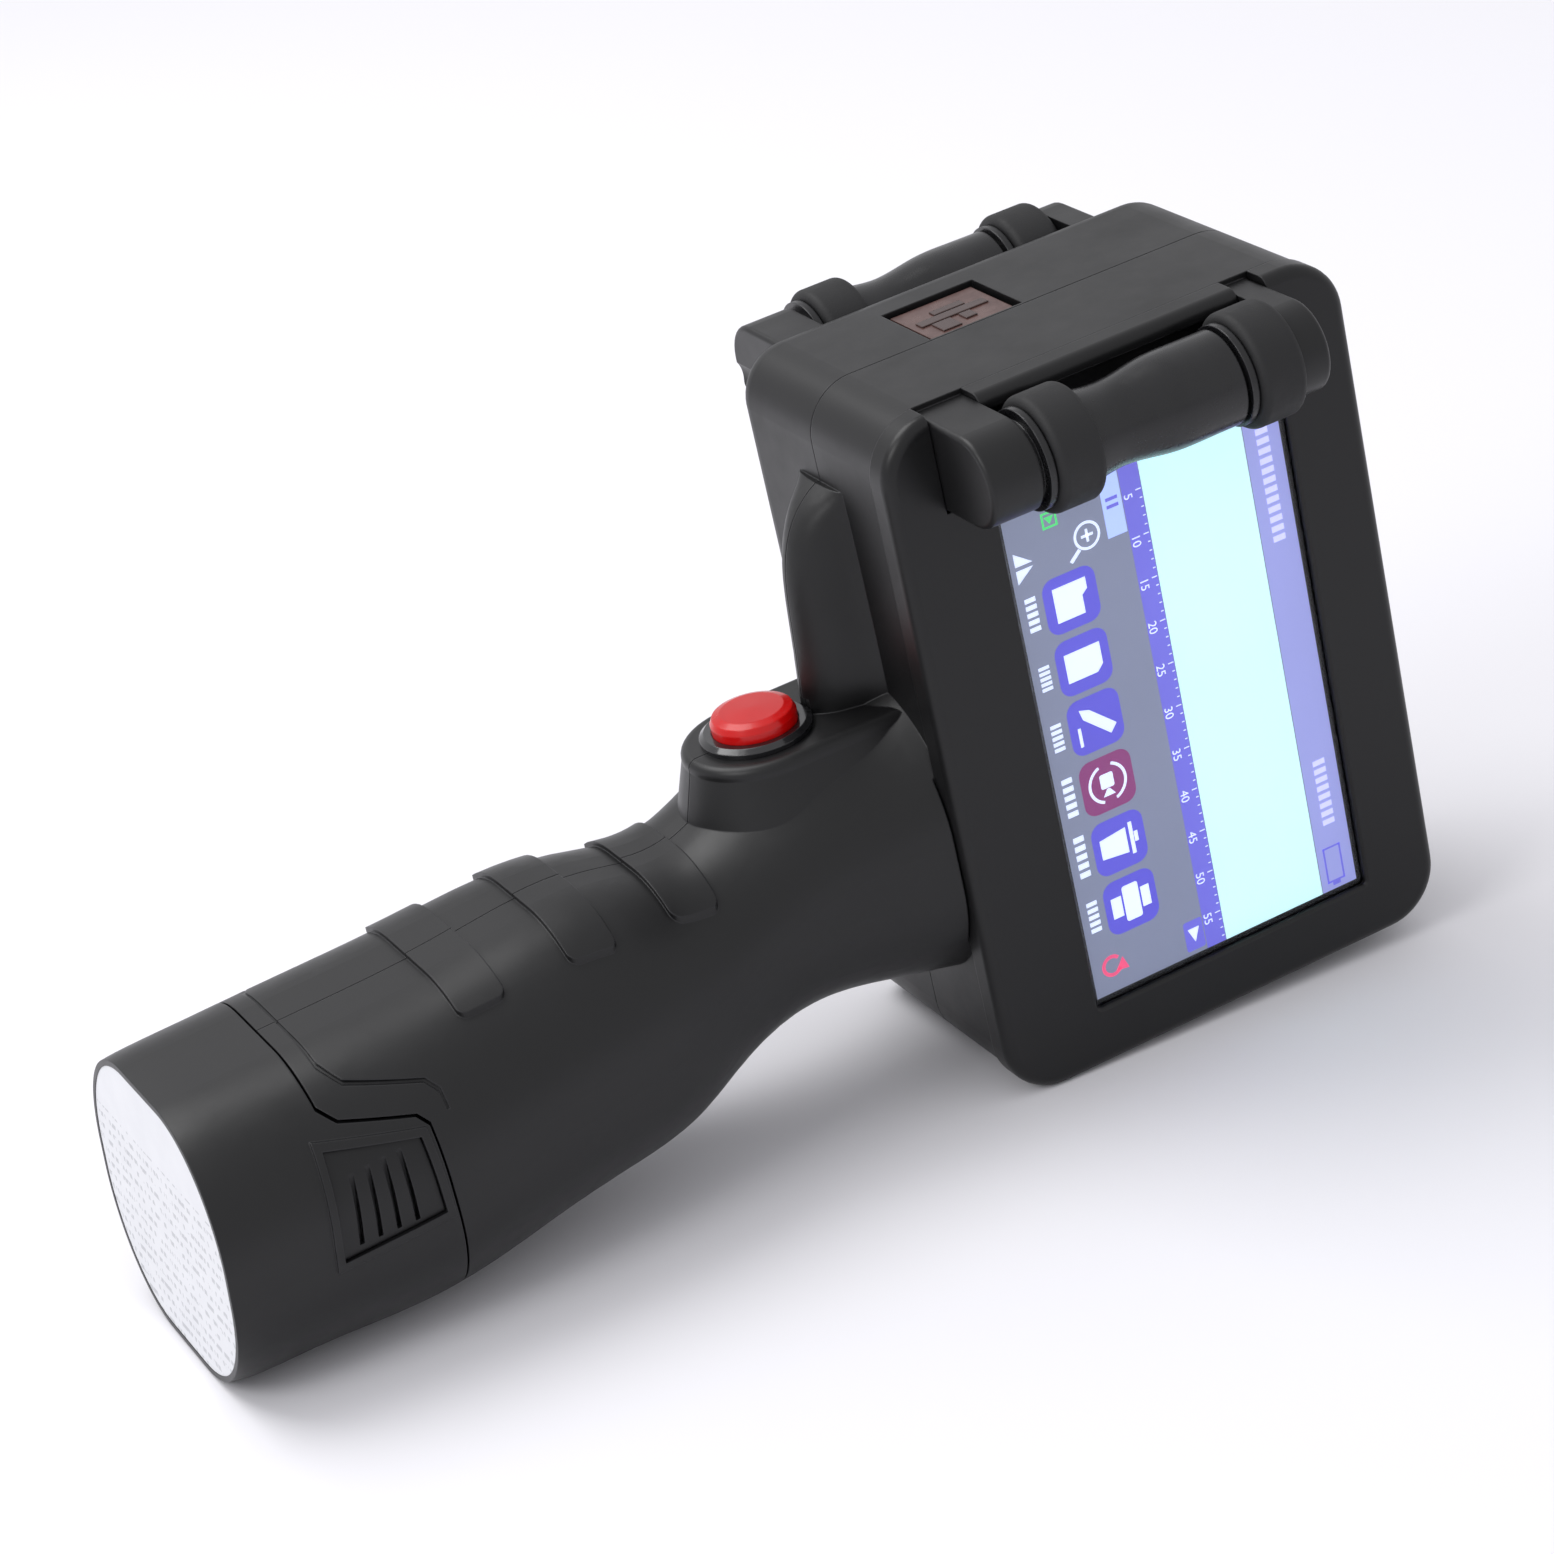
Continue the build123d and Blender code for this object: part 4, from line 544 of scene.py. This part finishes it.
FAINT = tone(196, 196, 246)
screen_piece("screen_title_marks", bars(80, 465, 58, 40, 13), lit("screen_faint", FAINT, 0.95), 2)
screen_piece("screen_clock_marks", bars(1150, 1370, 58, 40, 8),
             lit("screen_faint_clock", FAINT, 0.95), 2)
battery_edge = [
    box_shape(1430, 35, 1545, 41), box_shape(1430, 89, 1545, 95),
    box_shape(1430, 35, 1436, 95), box_shape(1539, 35, 1545, 95), box_shape(1545, 52, 1556, 78)]
screen_piece("screen_battery_mark", battery_edge, violet, 2)
label_spans = [(310, 420), (520, 600), (700, 790), (870, 1000), (1055, 1195), (1265, 1370)]
label_bars = [shape for a, b in label_spans for shape in bars(a, b, 848, 34, 5)]
screen_piece("screen_label_marks", label_bars, white, 2)
RULER_START, TICK_PITCH = 133, 26.7
ticks = [box_shape(RULER_START + TICK_PITCH * k, 455, RULER_START + 3 + TICK_PITCH * k, 463 if k % 5 else 472)
         for k in range(54)]
screen_piece("screen_ruler_ticks", ticks, white, 2)
FIGURE_PITCH = 133.3
facing = Matrix(((0, 1, 0), (0, 0, -1), (-1, 0, 0))).to_4x4()
for step in range(1, 12):
    figure = bpy.data.curves.new(f"ruler_figure_{5 * step}", "FONT")
    figure.body = str(5 * step)
    figure.size = 2.3 * MM
    figure.align_x = "CENTER"
    piece = bpy.data.objects.new(f"ruler_figure_{5 * step}", figure)
    bpy.context.scene.collection.objects.link(piece)
    x, y, z = on_screen(RULER_START + FIGURE_PITCH * (step - 1) + 12, 510, 2)
    piece.matrix_world = Matrix.Translation((x, y, z)) @ facing
    piece.data.materials.append(white)
    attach(piece, "root")

# %% [markdown]
# Six rounded keys carry plain signs: folder, page, pencil, turn, bin and printer. Each sign is a
# few flat shapes, as a sign painter would cut them.

# %% Keys and signs
key_mids = [367, 557, 743, 935, 1128, 1318]
TURN_MID = 935


def key(mid):
    """One rounded key about its middle."""
    return box_shape(mid - 84, 641, mid + 84, 809, 38)


plain_keys = [key(mid) for mid in key_mids if mid != TURN_MID]
screen_piece("screen_keys", plain_keys, lit("screen_key_blue", tone(84, 78, 196), 0.9), 1)
screen_piece("screen_turn_key", [key(TURN_MID)], lit("screen_key_plum", tone(128, 44, 108), 0.85), 1)
signs = {
    "folder": [[(315, 672), (350, 672), (364, 690), (418, 690), (418, 778), (315, 778)]],
    "page": [[(515, 668), (582, 668), (602, 688), (602, 782), (515, 782)]],
    "pencil": [[(690, 770), (700, 738), (770, 662), (794, 684), (722, 762)], box_shape(742, 774, 800, 784)],
    "turn": ring_shapes(TURN_MID, 725, 62, 9, 20, 140) + ring_shapes(TURN_MID, 725, 62, 9, 200, 140)
            + [box_shape(905, 705, 950, 748, 6), [(952, 722), (974, 706), (974, 746), (952, 730)]],
    "bin": [box_shape(1078, 678, 1178, 690), box_shape(1112, 664, 1144, 676),
            [(1088, 700), (1168, 700), (1158, 786), (1098, 786)]],
    "printer": [box_shape(1286, 662, 1350, 690), box_shape(1262, 696, 1374, 748, 8),
                box_shape(1286, 754, 1350, 788)],
}
for sign, shapes in signs.items():
    screen_piece(f"screen_sign_{sign}", shapes, white, 2)
print("signs", len(signs))

# %% [markdown]
# Small marks at both ends of the key row: a magnifier, a green go square, a mirror sign of two
# triangles and a red return arrow.

# %% Corner marks
green = lit("screen_green", tone(70, 206, 110), 1.0)
rose = lit("screen_rose", tone(224, 74, 116), 1.0)
magnifier = ring_shapes(203, 642, 42, 8) + [
    [(231, 676), (239, 668), (266, 700), (258, 708)],
    box_shape(184, 638, 222, 646), box_shape(199, 623, 207, 661)]
screen_piece("screen_magnifier", magnifier, white, 2)
screen_piece("screen_go_square", ring_shapes(115, 745, 34, 9, 45, 360, 4), green, 2)
screen_piece("screen_go_arrow", [[(105, 730), (128, 745), (105, 760)]], green, 2)
mirror = [[(170, 872), (210, 818), (210, 872)], [(222, 818), (262, 872), (222, 872)]]
screen_piece("screen_mirror_sign", mirror, white, 2)
return_arrow = ring_shapes(1485, 822, 34, 11, -60, 290) + [[(1470, 786), (1512, 770), (1506, 812)]]
screen_piece("screen_return", return_arrow, rose, 2)

# %% [markdown]
# Behind the print window the cartridge shows its nozzle chip and the flexible foil that feeds it.
# They are thin plates with a soft edge, so the bevel modifier rounds them.

# %% Nozzle chip and foil
nozzle_low, nozzle_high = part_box("nozzle_plate")
middle = (nozzle_low + nozzle_high) / 2


def thin_plate(name, x0, x1, y0, y1, z0, z1, edge_mm, made, body="root"):
    """A plate with rounded edges, from its two corners in metres."""
    corners = [(x, y, z) for x in (x0, x1) for y in (y0, y1) for z in (z0, z1)]
    sides = [(0, 1, 3, 2), (4, 6, 7, 5), (0, 4, 5, 1), (2, 3, 7, 6), (0, 2, 6, 4), (1, 5, 7, 3)]
    piece = mesh_piece(name, corners, sides)
    soft = piece.modifiers.new("soft edge", "BEVEL")
    soft.width = edge_mm * MM
    soft.segments = 3
    wearing(piece, made)
    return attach(piece, body)


# Its third colour is a paler edge tone, a painted highlight on the foil's edges.
foil = finish("foil", tone(64, 42, 38), tone(44, 28, 26), tone(96, 70, 64), (0.2, 0.36), 2200, 0.06)
top = nozzle_high.z
for name, x_from, x_to, y_from, y_to in (
    ("nozzle_chip", -6.6, 6.4, -1.4, 1.0), ("nozzle_foil_near", -5.0, -1.4, -6.0, -1.8),
    ("nozzle_foil_mid", 0.2, 2.4, -4.6, -1.8), ("nozzle_foil_far", -2.6, 3.4, 1.4, 3.4),
):
    thin_plate(name, middle.x + x_from * MM, middle.x + x_to * MM, middle.y + y_from * MM,
               middle.y + y_to * MM, top, top + 0.25 * MM, 0.08, foil)

# %% [markdown]
# The power button carries the usual sign for on and off: a broken ring and a bar. It rides on
# the button, so it goes in when the button does.

# %% Power sign
button_low, button_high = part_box("power_button")
sign_points, sign_faces = [], []
for shape in ring_shapes(0, 0, 2.4, 0.5, -60, 300, 26) + [box_shape(0.6, -0.25, 3.0, 0.25)]:
    sign_faces.append(tuple(range(len(sign_points), len(sign_points) + len(shape))))
    sign_points += [(button_high.x + 0.01 * MM, (button_low.y + button_high.y) / 2 + b * MM,
                     (button_low.z + button_high.z) / 2 + a * MM) for a, b in shape]
power_sign = mesh_piece("power_sign", sign_points, sign_faces)
wearing(power_sign, finishes["white_nylon"])
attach(power_sign, "power")

# %% [markdown]
# The cartridge door is a plain panel, so both sides of its thumb dish get five moulded finger
# ridges. They are sunk a little into the panel, ride on the door and swing with it.

# %% Door ridges
door_low, door_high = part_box("cartridge_door")
door_mid = (door_low.z + door_high.z) / 2
panel_face = 27.2 * MM
RIDGE_PITCH, RIDGE_WIDE, RIDGE_SUNK, RIDGE_PROUD = 1.7 * MM, 0.8 * MM, 0.2 * MM, 0.35 * MM
for step in range(5):
    start_x = door_low.x + 3.0 * MM + step * RIDGE_PITCH
    for name, foot, top in (("door_ridge", -15, -8), ("door_ridge_far", 8, 15)):
        thin_plate(f"{name}_{step}", start_x, start_x + RIDGE_WIDE, panel_face - RIDGE_SUNK,
                   panel_face + RIDGE_PROUD, door_mid + foot * MM, door_mid + top * MM, 0.25,
                   finishes["satin_shell"], "door")

# %% [markdown]
# Light comes from a wide box overhead and slightly behind, as on a white product table, with a
# weak fill on the grip side. The surroundings are pale too, so the black plastic has something
# bright to mirror.

# %% Studio light
def soft_box(name, place, aim, size, watts):
    """A square area light turned to face a point."""
    data = bpy.data.lights.new(name, "AREA")
    data.size = size
    data.energy = watts
    lamp = bpy.data.objects.new(name, data)
    lamp.location = place
    lamp.rotation_euler = (Vector(aim) - Vector(place)).to_track_quat("-Z", "Y").to_euler()
    bpy.context.scene.collection.objects.link(lamp)


HEART = (0, 0, 0.05)
soft_box("overhead", (-0.30, 0.50, 1.15), HEART, 0.8, 9)
soft_box("grip_side", (-0.9, -0.3, 0.9), HEART, 0.5, 4)
world = bpy.data.worlds.new("pale_room")
bpy.context.scene.world = world
world.use_nodes = True
room = world.node_tree.nodes["Background"]
room.inputs["Color"].default_value = (0.97, 0.97, 1.0, 1)
room.inputs["Strength"].default_value = 0.84
bpy.context.scene.view_settings.view_transform = "Standard"
